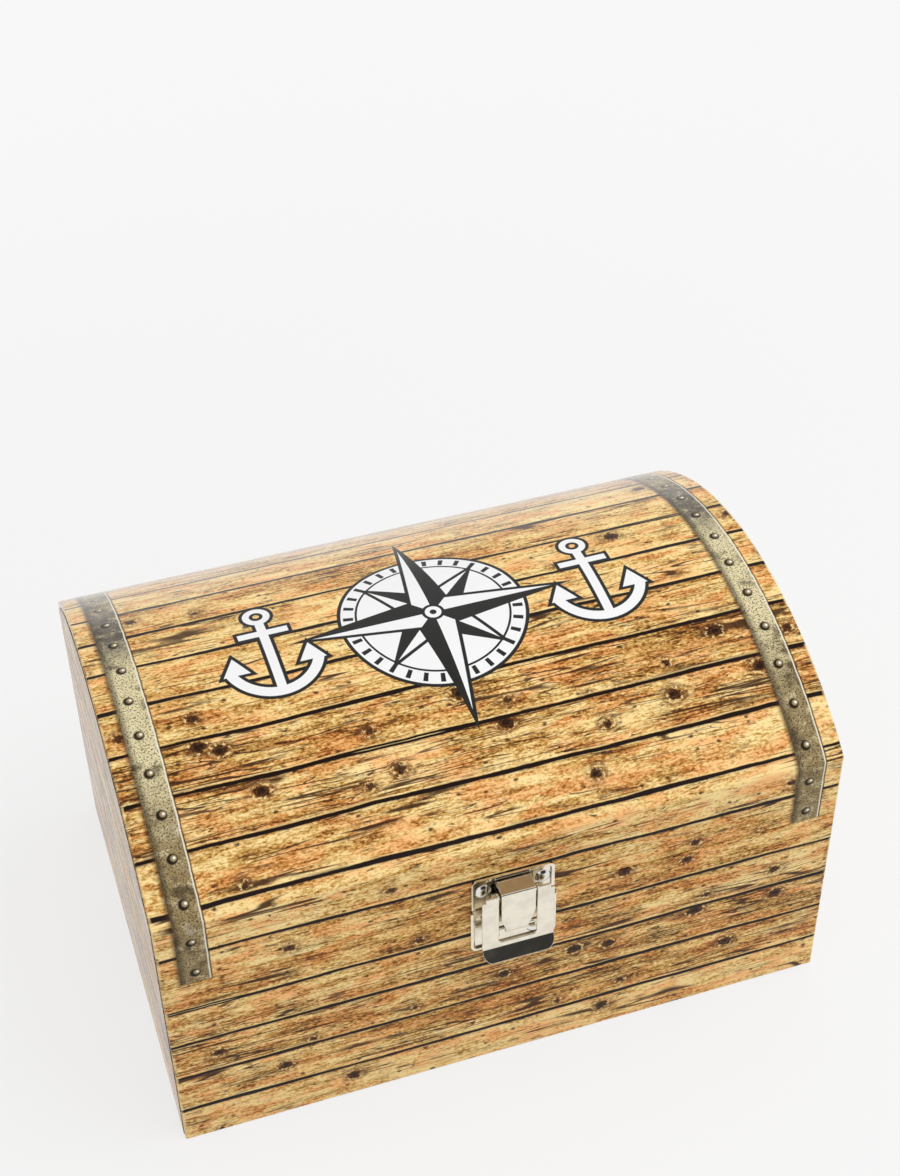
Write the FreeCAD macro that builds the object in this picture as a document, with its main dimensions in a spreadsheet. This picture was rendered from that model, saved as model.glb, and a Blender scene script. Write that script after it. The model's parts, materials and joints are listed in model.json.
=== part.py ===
import FreeCAD, Part
import math
import os
import re
import Sketcher

# Treasure chest box of paper-covered board: a base, a domed lid on two riveted hinges and a draw latch.
# Millimetres, +Z up. X runs along the width, the front faces -Y, and the origin is the middle of the
# underside. "Rise" is height above the rim of the base, and "out" is distance in front of the front face.

SIZES = (
    ("chest_width", 300, "outside width, over the end papers"),
    ("chest_depth", 210, "outside depth of the covered box"),
    ("base_height", 103, "height of the rim of the base"),
    ("lip_height", 35, "straight band of the lid, from the rim of the base to the crease"),
    ("dome_rise", 40, "height of the dome above the creases"),
    ("seam_gap", 0.4, "gap between the two rims"),
    ("board", 2, "thickness of the greyboard"),
    ("paper", 0.25, "thickness of a printed or lining paper"),
    ("glue", 0.05, "thickness of a glue film"),
    ("turn_in", 14, "paper turned over a rim to the inside"),
    ("end_flap", 10, "wrap turned round onto the ends"),
    ("under_flap", 12, "paper turned under the base"),
    ("end_margin", 3, "end papers stop this far inside the edges"),
    ("under_margin", 2, "bottom paper stops this far inside the edges"),
    ("lining_drop", 6, "lining stops this far from the rims"),
    ("crease_radius", 2.5, "outside radius of the creases of the lid"),
    ("latch_steel", 0.8, "sheet of the latch"),
    ("strike_width", 36.6, "strike plate on the lid"),
    ("strike_lift", 0.9, "rise of the lower edge of the strike plate"),
    ("strike_top", 18.3, "rise of the upper edge of the strike plate"),
    ("strike_corner", 2.6, "radius of its upper corners"),
    ("strike_rim_width", 1.5, "raised rim of the strike plate"),
    ("strike_rim_height", 0.8, "how far that rim stands up"),
    ("strike_rivet_x", 13.2, "rivets of the strike plate, from the middle"),
    ("strike_rivet_rise", 10.8, "rise of those rivets"),
    ("catch_width", 12, "catch of the strike plate"),
    ("catch_out", 4.6, "inner face of the catch"),
    ("catch_top", 13.8, "rise of the upper edge of the catch"),
    ("catch_height", 5.5, "upright part of the catch"),
    ("catch_bend", 1.4, "outside radius of the bend of the catch"),
    ("plate_width", 38, "base plate of the latch"),
    ("plate_gap", 0.4, "upper edge of the base plate, below the rim"),
    ("plate_drop", 24.4, "lower edge of the base plate, below the rim"),
    ("plate_corner", 3, "radius of its lower corners"),
    ("plate_rim_width", 1.2, "raised rim of the base plate"),
    ("plate_rim_height", 1.6, "how far that rim stands up"),
    ("panel_drop", 5.5, "upper edge of the raised panel of the base plate, below the rim"),
    ("panel_margin", 0.8, "between the panel and the raised rim"),
    ("panel_corner", 3.5, "radius of the upper corners of the panel"),
    ("panel_height", 0.7, "how far the panel stands up"),
    ("plate_rivet_x", 9.5, "rivets of the base plate, from the middle"),
    ("plate_rivet_drop", 18.5, "those rivets, below the rim"),
    ("pivot_out", 5.6, "pivot of the lever"),
    ("pivot_rise", 10.9, "rise of the pivot"),
    ("pivot_pin", 1.6, "diameter of the pivot stubs"),
    ("pivot_head", 3, "diameter of their heads"),
    ("pivot_head_height", 0.5, "height of their heads"),
    ("ear_radius", 1.6, "rounded end of the ears of the base plate"),
    ("ear_foot", 9.5, "foot of the ears, below the upper edge of the base plate"),
    ("ear_clear", 2.6, "back edge of the ears, clear of the strike plate"),
    ("side_gap", 0.3, "between the ears and the cheeks of the lever"),
    ("lever_out", 8.2, "front face of the lever"),
    ("lever_width", 31.8, "lever of the latch"),
    ("lever_top", 13.6, "rise of the upper edge of the lever"),
    ("lever_roll", 0.6, "rounded upper edge of the lever"),
    ("lever_notch_width", 1.7, "notches in the upper corners of the lever"),
    ("lever_notch_height", 2.2, "height of those notches"),
    ("lever_flat", 18, "flat face of the lever, below the rim"),
    ("flare_out", 3.4, "reach of the finger lip of the lever"),
    ("flare_drop", 6, "height of the finger lip"),
    ("flare_bend", 0.6, "inside radius of the bend above the finger lip"),
    ("lever_corner", 5, "radius of the lower corners of the lever"),
    ("slot_width", 16.8, "slot of the lever"),
    ("slot_drop", 15.5, "lower end of the slot, below the rim"),
    ("slot_corner", 1, "radius of the lower corners of the slot"),
    ("slot_roll", 0.7, "rounded edge of the slot, where the cheeks fold back"),
    ("cheek_head", 1.7, "cheeks of the lever around the pivot"),
    ("cheek_radius", 2, "cheeks of the lever around the tongue pin"),
    ("cheek_drop", 14, "lower end of the cheeks, below the rim"),
    ("tongue_pin", 2, "diameter of the tongue pin"),
    ("tongue_pin_end", 0.4, "tongue pin past each cheek"),
    ("tongue_pin_out", 5, "axis of the tongue pin"),
    ("tongue_pin_drop", 10.5, "axis of the tongue pin, below the rim"),
    ("eye_radius", 2, "rolled eye of the tongue"),
    ("eye_width", 10, "width of the eye"),
    ("tongue_width", 15, "hooked tongue"),
    ("tongue_out", 8.4, "front face of the tongue"),
    ("fold_rise", 0.5, "where the tongue folds inwards to its pin"),
    ("fold_radius", 4, "outside radius of that fold"),
    ("shoulder_rise", 2, "where the tongue begins to narrow"),
    ("waist_drop", 9, "where it has narrowed to the eye, below the rim"),
    ("hook_gap", 0.3, "between the catch and the tongue above it"),
    ("hook_rise", 2.5, "slope of the hook, up to the claw"),
    ("claw_out", 1.2, "inner face of the claw of the tongue"),
    ("claw_drop", 1, "claw below the upper edge of the catch"),
    ("hook_bend", 1.2, "outside radius of the bends of the hook"),
    ("running_fit", 0.05, "radial clearance of a turning fit"),
    ("press_fit", 0.01, "radial clearance of a fixed pin"),
    ("hinge_spacing", 170, "between the middles of the two hinges"),
    ("hinge_width", 26, "width of a hinge"),
    ("hinge_steel", 0.8, "sheet of the hinges"),
    ("leaf_height", 16, "height of a leaf from the hinge axis"),
    ("leaf_corner", 3, "radius of the corners of a leaf"),
    ("knuckle_radius", 2, "outside radius of the knuckles"),
    ("knuckle_width", 10, "middle knuckle of a hinge"),
    ("knuckle_gap", 0.2, "gap beside the knuckles"),
    ("hinge_pin", 2, "diameter of the hinge pin"),
    ("hinge_pin_end", 0.5, "hinge pin past the knuckles"),
    ("hinge_rivet_pitch", 15, "between the two rivets of a leaf"),
    ("hinge_rivet_rise", 9.5, "rivets of a leaf from the hinge axis"),
    ("rivet_shank", 2.5, "diameter of every rivet"),
    ("rivet_fit", 0.05, "radial clearance of the rivet holes"),
    ("rivet_tail", 6, "diameter of the rolled tails inside"),
    ("tail_height", 0.8, "height of the rolled tails"),
    ("latch_rivet_head", 7, "diameter of the domed heads on the latch"),
    ("latch_rivet_height", 1.5, "height of those heads"),
    ("hinge_rivet_head", 5, "diameter of the domed heads on the hinges"),
    ("hinge_rivet_height", 1.2, "height of those heads"),
)

doc = FreeCAD.newDocument("TreasureChest")
sheet = doc.addObject("Spreadsheet::Sheet", "Sizes")
for row, (alias, value, meaning) in enumerate(SIZES, start=1):
    sheet.set(f"A{row}", meaning)
    sheet.set(f"B{row}", str(value))
    sheet.setAlias(f"B{row}", alias)
doc.recompute()

names = {alias for alias, value, meaning in SIZES}
pieces = []

# Layers of the walls, worked out from the sizes.
SKIN = "(paper + glue)"
FRONT = "(chest_depth / 2)"
END = "(chest_width / 2)"
WALL_X = f"({END} - 2 * {SKIN})"
WALL_Y = f"({FRONT} - {SKIN})"
FLAP_X = f"({END} - {SKIN})"
TURN_X = f"({WALL_X} - board - {SKIN})"
TURN_Y = f"({WALL_Y} - board - {SKIN})"
LINING_X = f"({TURN_X} - glue)"
LINING_Y = f"({TURN_Y} - glue)"
BETWEEN_ENDS = f"({WALL_X} - board - glue)"
FLOOR = f"(2 * {SKIN})"
BASE_EDGE = f"(base_height - {SKIN})"
LID_RIM = "(base_height + seam_gap)"
LID_EDGE = f"({LID_RIM} + {SKIN})"
GRIP = f"(board + 3 * {SKIN})"
DOME_RADIUS = f"(({FRONT} ^ 2 + dome_rise ^ 2) / (2 * dome_rise))"
DOME_CENTRE = f"(base_height + lip_height + dome_rise - {DOME_RADIUS})"

# Latch and hinge places.
CHEEK_SIDE = "(slot_width / 2 + latch_steel)"
EAR_SIDE = f"({CHEEK_SIDE} + side_gap)"
HINGE_Y = f"({FRONT} + knuckle_radius + knuckle_gap)"
HINGE_Z = "(base_height + seam_gap / 2)"
RIVET_HOLE = "(rivet_shank / 2 + rivet_fit)"
STRIKE_RIVETS = (("strike_rivet_x", "(base_height + strike_rivet_rise)"),)
PLATE_RIVETS = (("plate_rivet_x", "(base_height - plate_rivet_drop)"),)
HINGE_INNER_X = "(hinge_spacing / 2 - hinge_rivet_pitch / 2)"
HINGE_OUTER_X = "(hinge_spacing / 2 + hinge_rivet_pitch / 2)"


def hinge_rivets(sign):
    """Right-hand rivet places of the leaves above (+) or below (-) the hinge axis."""
    height = f"({HINGE_Z} {sign} hinge_rivet_rise)"
    return (HINGE_INNER_X, height), (HINGE_OUTER_X, height)


def bound(expression):
    """The expression with each size read from the sheet."""
    return re.sub(r"[a-z_]+", lambda word: f"Sizes.{word.group()}" if word.group() in names else word.group(),
                  expression)


def number(expression):
    """The value that the expression has now."""
    return float(sheet.evalExpression(expression))


def new_body(label):
    """Empty body of one piece, on the list of pieces."""
    body = doc.addObject("PartDesign::Body", label)
    body.Label = label
    pieces.append(body)
    return body


def origin_plane(body, role):
    """One of the body's own origin planes."""
    return next(item for item in body.Origin.OriginFeatures if item.Role == f"{role}_Plane")


def new_sketch(body, role, across=None, up=None, out=None):
    """Sketch on an origin plane of the body, shifted along the plane's own three axes."""
    sketch = body.newObject("Sketcher::SketchObject", f"{body.Label}_outline")
    sketch.AttachmentSupport = (origin_plane(body, role), "")
    sketch.MapMode = "FlatFace"
    for axis, shift in (("x", across), ("y", up), ("z", out)):
        if shift:
            sketch.setExpression(f"AttachmentOffset.Base.{axis}", bound(shift))
    return sketch


def tie(sketch, kind, value, *where):
    """Constraint whose value follows an expression."""
    index = sketch.addConstraint(Sketcher.Constraint(kind, *where, number(value)))
    sketch.setExpression(f"Constraints[{index}]", bound(value))


def arc_between(first, last, radius):
    """Anticlockwise arc of under a half circle from first to last."""
    chord = last - first
    middle = (first + last) * 0.5
    reach = math.sqrt(max(radius ** 2 - (chord.Length / 2) ** 2, 0))
    centre = middle + FreeCAD.Vector(-chord.y, chord.x, 0).normalize() * reach
    start = math.atan2(first.y - centre.y, first.x - centre.x)
    stop = math.atan2(last.y - centre.y, last.x - centre.x)
    return Part.ArcOfCircle(Part.Circle(centre, FreeCAD.Vector(0, 0, 1), radius), start, stop)


def loop(sketch, corners, arcs=None):
    """Closed outline through corners, pairs of expressions; arcs gives a side its (radius, turn)."""
    arcs = arcs or {}
    places = [FreeCAD.Vector(number(across), number(up), 0) for across, up in corners]
    sides = []
    for side, start in enumerate(places):
        stop = places[(side + 1) % len(places)]
        if side in arcs:
            radius, turn = arcs[side]
            first, last = (start, stop) if turn > 0 else (stop, start)
            index = sketch.addGeometry(arc_between(first, last, number(radius)))
            tie(sketch, "Radius", radius, index)
            sides.append((index, 1, 2) if turn > 0 else (index, 2, 1))
        else:
            sides.append((sketch.addGeometry(Part.LineSegment(start, stop)), 1, 2))
    for side, (across, up) in enumerate(corners):
        index, first, last = sides[side]
        following = sides[(side + 1) % len(sides)]
        sketch.addConstraint(Sketcher.Constraint("Coincident", index, last, following[0], following[1]))
        tie(sketch, "DistanceX", across, -1, 1, index, first)
        tie(sketch, "DistanceY", up, -1, 1, index, first)


def rectangle(sketch, left, right, low, high):
    """Upright rectangle between four expressions."""
    loop(sketch, [(left, low), (right, low), (right, high), (left, high)])


def circle(sketch, across, up, radius):
    """Full circle about a point given by two expressions."""
    centre = FreeCAD.Vector(number(across), number(up), 0)
    index = sketch.addGeometry(Part.Circle(centre, FreeCAD.Vector(0, 0, 1), number(radius)))
    tie(sketch, "Radius", radius, index)
    tie(sketch, "DistanceX", across, -1, 1, index, 3)
    tie(sketch, "DistanceY", up, -1, 1, index, 3)


def round_holes(sketch, places):
    """A rivet hole at each right-hand place and at its mirror image."""
    for across, up in places:
        for side in (across, f"-{across}"):
            circle(sketch, side, up, RIVET_HOLE)


def pad(body, sketch, length, both=False):
    """Material added along the sketch's normal, or to both sides of it."""
    feature = body.newObject("PartDesign::Pad", f"{body.Label}_pad")
    feature.Profile = sketch
    feature.setExpression("Length", bound(length))
    if both:
        feature.SideType = "Symmetric"
    doc.recompute()
    return feature


def cut(body, sketch, length=None, both=False, forward=False):
    """Material taken away against the sketch's normal, along it, or to both sides of it."""
    before = body.Shape.Volume
    feature = body.newObject("PartDesign::Pocket", f"{body.Label}_cut")
    feature.Profile = sketch
    if length:
        feature.setExpression("Length", bound(length))
    else:
        feature.Type = "ThroughAll"
    if both:
        feature.SideType = "Symmetric"
    feature.Reversed = forward
    doc.recompute()
    if body.Shape.Volume >= before:
        raise RuntimeError(f"{feature.Label} cuts nothing")


def drill(body, places, back=False):
    """Rivet holes through the front wall of a piece, or through its back wall."""
    sketch = new_sketch(body, "XZ")
    round_holes(sketch, places)
    cut(body, sketch, forward=not back)


def mirror(body, features):
    """The features again on the other side of the middle plane."""
    feature = body.newObject("PartDesign::Mirrored", f"{body.Label}_mirror")
    feature.Originals = features
    feature.MirrorPlane = (origin_plane(body, "YZ"), [""])
    body.Tip = feature
    doc.recompute()


def turned(body, sketch):
    """Solid of revolution about the sketch's horizontal axis."""
    feature = body.newObject("PartDesign::Revolution", f"{body.Label}_turned")
    feature.Profile = sketch
    feature.ReferenceAxis = (sketch, ["H_Axis"])
    feature.Angle = 360
    doc.recompute()
    return feature


def round_edges(body, radius, places, along="X"):
    """Fillet on the edges along an axis that pass through the given places on the other two axes."""
    base = body.Tip
    first, second = {"X": "YZ", "Z": "XY"}[along]
    spots = [(number(across), number(up)) for across, up in places]
    found = []
    for index, edge in enumerate(base.Shape.Edges, start=1):
        box = edge.BoundBox
        thin = getattr(box, f"{first}Length") < 1e-4 and getattr(box, f"{second}Length") < 1e-4
        if thin and getattr(box, f"{along}Length") > 0.1:
            across, up = getattr(box, f"{first}Min"), getattr(box, f"{second}Min")
            if any(math.hypot(across - spot[0], up - spot[1]) < 1e-3 for spot in spots):
                found.append(f"Edge{index}")
    if not found:
        raise RuntimeError(f"no edge to round on {body.Label}")
    feature = body.newObject("PartDesign::Fillet", f"{body.Label}_round")
    feature.Base = (base, found)
    feature.setExpression("Radius", bound(radius))
    doc.recompute()


def turn_round(body):
    """Stand a piece that was drawn at the front or right at the back or left."""
    body.Placement = FreeCAD.Placement(FreeCAD.Vector(), FreeCAD.Rotation(FreeCAD.Vector(0, 0, 1), 180))


# Base of the box.

def bottom_board():
    """Flat board inside the four walls."""
    body = new_body("base_bottom_board")
    sketch = new_sketch(body, "XY", out=FLOOR)
    across, along = f"({WALL_X} - board)", f"({WALL_Y} - board)"
    rectangle(sketch, f"-{across}", across, f"-{along}", along)
    pad(body, sketch, "board")


def wall_board(label, places, at_back=False):
    """Front or back board over the full width."""
    body = new_body(label)
    sketch = new_sketch(body, "XZ", out=f"{WALL_Y} - board")
    rectangle(sketch, f"-{WALL_X}", WALL_X, FLOOR, BASE_EDGE)
    round_holes(sketch, places)
    pad(body, sketch, "board")
    if at_back:
        turn_round(body)


def end_board(label, at_left=False):
    """End board between the front and back boards."""
    body = new_body(label)
    sketch = new_sketch(body, "YZ", out=f"{WALL_X} - board")
    along = f"({WALL_Y} - board)"
    rectangle(sketch, f"-{along}", along, FLOOR, BASE_EDGE)
    pad(body, sketch, "board")
    if at_left:
        turn_round(body)


def wall_wrap(label, places, at_back=False):
    """Printed paper over the front or back: turned under, over the rim and round onto the ends."""
    body = new_body(label)
    sketch = new_sketch(body, "YZ")
    inside = f"({FRONT} - paper)"
    under = f"({FRONT} - under_flap)"
    loop(sketch, [
        (f"-{FRONT}", SKIN), (f"-{FRONT}", "base_height"),
        (f"-{TURN_Y}", "base_height"), (f"-{TURN_Y}", "(base_height - paper)"),
        (f"-{inside}", "(base_height - paper)"), (f"-{inside}", f"({SKIN} + paper)"),
        (f"-{under}", f"({SKIN} + paper)"), (f"-{under}", SKIN),
    ])
    pad(body, sketch, f"2 * {FLAP_X}", both=True)
    sketch = new_sketch(body, "YZ")
    rectangle(sketch, f"-({TURN_Y} + paper)", f"-{TURN_Y}", "(base_height - turn_in)", "(base_height - paper)")
    pad(body, sketch, f"2 * {BETWEEN_ENDS}", both=True)
    sketch = new_sketch(body, "YZ", out=f"{FLAP_X} - paper")
    rectangle(sketch, f"-{FRONT}", f"-({FRONT} - end_flap)", SKIN, BASE_EDGE)
    mirror(body, [pad(body, sketch, "paper")])
    drill(body, places)
    if at_back:
        turn_round(body)


def turned_rim(body, rim, sign):
    """Paper over the rim of an end board and down its inside; sign says which way the end board lies."""
    sketch = new_sketch(body, "XZ")
    over = f"({rim} {sign} paper)"
    inner = f"({rim} {sign} turn_in)"
    loop(sketch, [(END, rim), (TURN_X, rim), (TURN_X, inner), (f"({TURN_X} + paper)", inner),
                  (f"({TURN_X} + paper)", over), (END, over)])
    pad(body, sketch, f"2 * {LINING_Y}", both=True)


def base_end_paper(label, at_left=False):
    """Printed paper on an end of the base, over the flaps of the wraps."""
    body = new_body(label)
    sketch = new_sketch(body, "YZ", out=f"{END} - paper")
    along = f"({FRONT} - end_margin)"
    rectangle(sketch, f"-{along}", along, SKIN, "base_height")
    pad(body, sketch, "paper")
    turned_rim(body, "base_height", "-")
    sketch = new_sketch(body, "XZ")
    rectangle(sketch, f"({END} - under_flap)", END, SKIN, f"({SKIN} + paper)")
    pad(body, sketch, f"2 * ({FRONT} - under_flap - glue)", both=True)
    if at_left:
        turn_round(body)


def bottom_paper():
    """Paper that covers the flaps under the base."""
    body = new_body("base_bottom_paper")
    sketch = new_sketch(body, "XY")
    across, along = f"({END} - under_margin)", f"({FRONT} - under_margin)"
    rectangle(sketch, f"-{across}", across, f"-{along}", along)
    pad(body, sketch, "paper")


def base_lining():
    """Paper tray inside the base."""
    body = new_body("base_lining")
    low = f"({FLOOR} + board + glue)"
    high = "(base_height - lining_drop)"
    sketch = new_sketch(body, "XY", out=low)
    rectangle(sketch, f"-{LINING_X}", LINING_X, f"-{LINING_Y}", LINING_Y)
    pad(body, sketch, f"{high} - {low}")
    sketch = new_sketch(body, "XY", out=high)
    across, along = f"({LINING_X} - paper)", f"({LINING_Y} - paper)"
    rectangle(sketch, f"-{across}", across, f"-{along}", along)
    cut(body, sketch, f"{high} - {low} - paper")
    drill(body, PLATE_RIVETS)
    drill(body, hinge_rivets("-"), back=True)


# Lid of the box.

def arch(inset):
    """Half depth, dome radius and crease height of the outline of the lid, inset from its outside."""
    half = f"({FRONT} - {inset})"
    radius = f"({DOME_RADIUS} - {inset})"
    crease = f"({DOME_CENTRE} + sqrt({radius} ^ 2 - {half} ^ 2))"
    return half, radius, crease


def arch_face(sketch, inset, rim):
    """Closed outline of the end of the lid."""
    half, radius, crease = arch(inset)
    loop(sketch, [(f"-{half}", rim), (f"-{half}", crease), (half, crease), (half, rim)], {1: (radius, -1)})


def arch_band(sketch, inset, deeper, rim):
    """Outline of a bent sheet between two insets."""
    half, radius, crease = arch(inset)
    low_half, low_radius, low_crease = arch(deeper)
    loop(sketch, [
        (f"-{half}", rim), (f"-{half}", crease), (half, crease), (half, rim),
        (low_half, rim), (low_half, low_crease), (f"-{low_half}", low_crease), (f"-{low_half}", rim),
    ], {1: (radius, -1), 5: (low_radius, 1)})


def crease_places(inset):
    """Where the two creases of a sheet at this inset lie."""
    half, radius, crease = arch(inset)
    return (half, crease), (f"-{half}", crease)


def lid_shell_board():
    """One board, creased twice and bent, for the front lip, the dome and the back lip."""
    body = new_body("lid_shell_board")
    sketch = new_sketch(body, "YZ")
    arch_band(sketch, SKIN, f"({SKIN} + board)", LID_EDGE)
    pad(body, sketch, f"2 * {WALL_X}", both=True)
    round_edges(body, f"crease_radius - {SKIN}", crease_places(SKIN))
    drill(body, STRIKE_RIVETS)
    drill(body, hinge_rivets("+"), back=True)


def lid_end_board(label, at_left=False):
    """Arched end board inside the bent board."""
    body = new_body(label)
    sketch = new_sketch(body, "YZ", out=f"{WALL_X} - board")
    arch_face(sketch, f"({SKIN} + board + glue)", LID_EDGE)
    pad(body, sketch, "board")
    if at_left:
        turn_round(body)


def lid_wrap():
    """Printed paper over the whole bent board, turned over both rims and round onto the ends."""
    body = new_body("lid_wrap")
    sketch = new_sketch(body, "YZ")
    half, radius, crease = arch("0")
    low_half, low_radius, low_crease = arch("paper")
    over = f"({LID_RIM} + paper)"
    loop(sketch, [
        (f"-{half}", LID_RIM), (f"-{half}", crease), (half, crease), (half, LID_RIM),
        (TURN_Y, LID_RIM), (TURN_Y, over), (low_half, over), (low_half, low_crease),
        (f"-{low_half}", low_crease), (f"-{low_half}", over), (f"-{TURN_Y}", over), (f"-{TURN_Y}", LID_RIM),
    ], {1: (radius, -1), 7: (low_radius, 1)})
    pad(body, sketch, f"2 * {FLAP_X}", both=True)
    sketch = new_sketch(body, "YZ")
    turned_top = f"({LID_RIM} + turn_in)"
    rectangle(sketch, TURN_Y, f"({TURN_Y} + paper)", over, turned_top)
    rectangle(sketch, f"-({TURN_Y} + paper)", f"-{TURN_Y}", over, turned_top)
    pad(body, sketch, f"2 * {BETWEEN_ENDS}", both=True)
    sketch = new_sketch(body, "YZ", out=f"{FLAP_X} - paper")
    arch_band(sketch, "0", "end_flap", LID_EDGE)
    mirror(body, [pad(body, sketch, "paper")])
    round_edges(body, "crease_radius", crease_places("0"))
    round_edges(body, "crease_radius - paper", crease_places("paper"))
    drill(body, STRIKE_RIVETS)
    drill(body, hinge_rivets("+"), back=True)


def lid_end_paper(label, at_left=False):
    """Printed paper on an end of the lid, over the flaps of the wrap."""
    body = new_body(label)
    sketch = new_sketch(body, "YZ", out=f"{END} - paper")
    arch_face(sketch, "end_margin", LID_RIM)
    pad(body, sketch, "paper")
    turned_rim(body, LID_RIM, "+")
    if at_left:
        turn_round(body)


def lid_lining():
    """Arched paper tray inside the lid."""
    body = new_body("lid_lining")
    inset = f"({FRONT} - {LINING_Y})"
    sketch = new_sketch(body, "YZ")
    arch_face(sketch, inset, f"({LID_RIM} + lining_drop)")
    pad(body, sketch, f"2 * {LINING_X}", both=True)
    sketch = new_sketch(body, "YZ")
    arch_face(sketch, f"({inset} + paper)", LID_RIM)
    cut(body, sketch, f"2 * ({LINING_X} - paper)", both=True)
    drill(body, STRIKE_RIVETS)
    drill(body, hinge_rivets("+"), back=True)


# Draw latch.

def latch_place(out, rise):
    """The (y, z) of a point given by its distance in front of the box and its rise above the rim."""
    return f"-({FRONT} + {out})", f"(base_height + {rise})"


def latch_outline(sketch, corners, arcs):
    """Side outline of a latch piece, from (out, rise) pairs."""
    loop(sketch, [latch_place(out, rise) for out, rise in corners], arcs)


def rounded_plate(sketch, half, square, rounded, radius, way):
    """Plate with two square corners and two rounded ones; way is + when the rounded end is above."""
    shoulder = f"({rounded} {'-' if way > 0 else '+'} {radius})"
    loop(sketch, [
        (f"-{half}", square), (f"-{half}", shoulder), (f"-({half} - {radius})", rounded),
        (f"({half} - {radius})", rounded), (half, shoulder), (half, square),
    ], {1: (radius, -way), 3: (radius, -way)})


def raised_rim(sketch, half, square, rounded, radius, width, way):
    """Rim along the sides and the rounded end of such a plate."""
    inward = "-" if way > 0 else "+"
    shoulder = f"({rounded} {inward} {radius})"
    inside = f"({half} - {width})"
    inside_end = f"({rounded} {inward} {width})"
    inside_radius = f"({radius} - {width})"
    loop(sketch, [
        (f"-{half}", square), (f"-{half}", shoulder), (f"-({half} - {radius})", rounded),
        (f"({half} - {radius})", rounded), (half, shoulder), (half, square),
        (inside, square), (inside, shoulder), (f"({half} - {radius})", inside_end),
        (f"-({half} - {radius})", inside_end), (f"-{inside}", shoulder), (f"-{inside}", square),
    ], {1: (radius, -way), 3: (radius, -way), 7: (inside_radius, way), 9: (inside_radius, way)})


def strike_plate():
    """Dished plate on the lid with an upturned catch."""
    body = new_body("strike_plate")
    half, low, high = "(strike_width / 2)", "(base_height + strike_lift)", "(base_height + strike_top)"
    sketch = new_sketch(body, "XZ", out=FRONT)
    rounded_plate(sketch, half, low, high, "strike_corner", 1)
    round_holes(sketch, STRIKE_RIVETS)
    pad(body, sketch, "latch_steel")
    sketch = new_sketch(body, "XZ", out=f"{FRONT} + latch_steel")
    raised_rim(sketch, half, low, high, "strike_corner", "strike_rim_width", 1)
    pad(body, sketch, "strike_rim_height")
    shelf = "(catch_top - catch_height)"
    face = "(catch_out + latch_steel)"
    sketch = new_sketch(body, "YZ")
    latch_outline(sketch, [
        ("0", shelf), (face, shelf), (face, "catch_top"), ("catch_out", "catch_top"),
        ("catch_out", f"({shelf} + latch_steel)"), ("0", f"({shelf} + latch_steel)"),
    ], {})
    pad(body, sketch, "catch_width", both=True)
    round_edges(body, "catch_bend", [latch_place(face, shelf)])
    round_edges(body, "catch_bend - latch_steel", [latch_place("catch_out", f"({shelf} + latch_steel)")])


def latch_plate():
    """Dished base plate with a raised panel and two ears for the pivot of the lever."""
    body = new_body("latch_plate")
    half, low, high = "(plate_width / 2)", "(base_height - plate_drop)", "(base_height - plate_gap)"
    sketch = new_sketch(body, "XZ", out=FRONT)
    rounded_plate(sketch, half, high, low, "plate_corner", -1)
    round_holes(sketch, PLATE_RIVETS)
    pad(body, sketch, "latch_steel")
    face = f"{FRONT} + latch_steel"
    sketch = new_sketch(body, "XZ", out=face)
    raised_rim(sketch, half, high, low, "plate_corner", "plate_rim_width", -1)
    pad(body, sketch, "plate_rim_height")
    inset = "(plate_rim_width + panel_margin)"
    sketch = new_sketch(body, "XZ", out=face)
    rounded_plate(sketch, f"({half} - {inset})", f"({low} + {inset})", "(base_height - panel_drop)", "panel_corner", 1)
    round_holes(sketch, PLATE_RIVETS)
    pad(body, sketch, "panel_height")
    sketch = new_sketch(body, "YZ", out=EAR_SIDE)
    latch_outline(sketch, [
        ("0", "(-plate_gap)"), ("ear_clear", "(-plate_gap)"), ("(pivot_out - ear_radius)", "pivot_rise"),
        ("pivot_out", "(pivot_rise + ear_radius)"), ("(pivot_out + ear_radius)", "pivot_rise"),
        ("latch_steel", "(-plate_gap - ear_foot)"), ("0", "(-plate_gap - ear_foot)"),
    ], {2: ("ear_radius", 1), 3: ("ear_radius", 1)})
    mirror(body, [pad(body, sketch, "latch_steel")])
    sketch = new_sketch(body, "YZ")
    circle(sketch, *latch_place("pivot_out", "pivot_rise"), "(pivot_pin / 2 + press_fit)")
    cut(body, sketch, "plate_width", both=True)


def lever_pivots():
    """Two headed stubs, fixed in the ears, on which the cheeks of the lever turn."""
    body = new_body("lever_pivots")
    sketch = new_sketch(body, "XZ", up="base_height + pivot_rise", out=f"{FRONT} + pivot_out")
    inside = "(slot_width / 2 - running_fit)"
    outside = f"({EAR_SIDE} + latch_steel)"
    inner_end = f"({inside} - pivot_head_height)"
    outer_end = f"({outside} + pivot_head_height)"
    shank, head = "(pivot_pin / 2)", "(pivot_head / 2)"
    loop(sketch, [
        (inner_end, "0"), (inner_end, head), (inside, head), (inside, shank),
        (outside, shank), (outside, head), (outer_end, head), (outer_end, "0"),
    ])
    mirror(body, [turned(body, sketch)])


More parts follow.
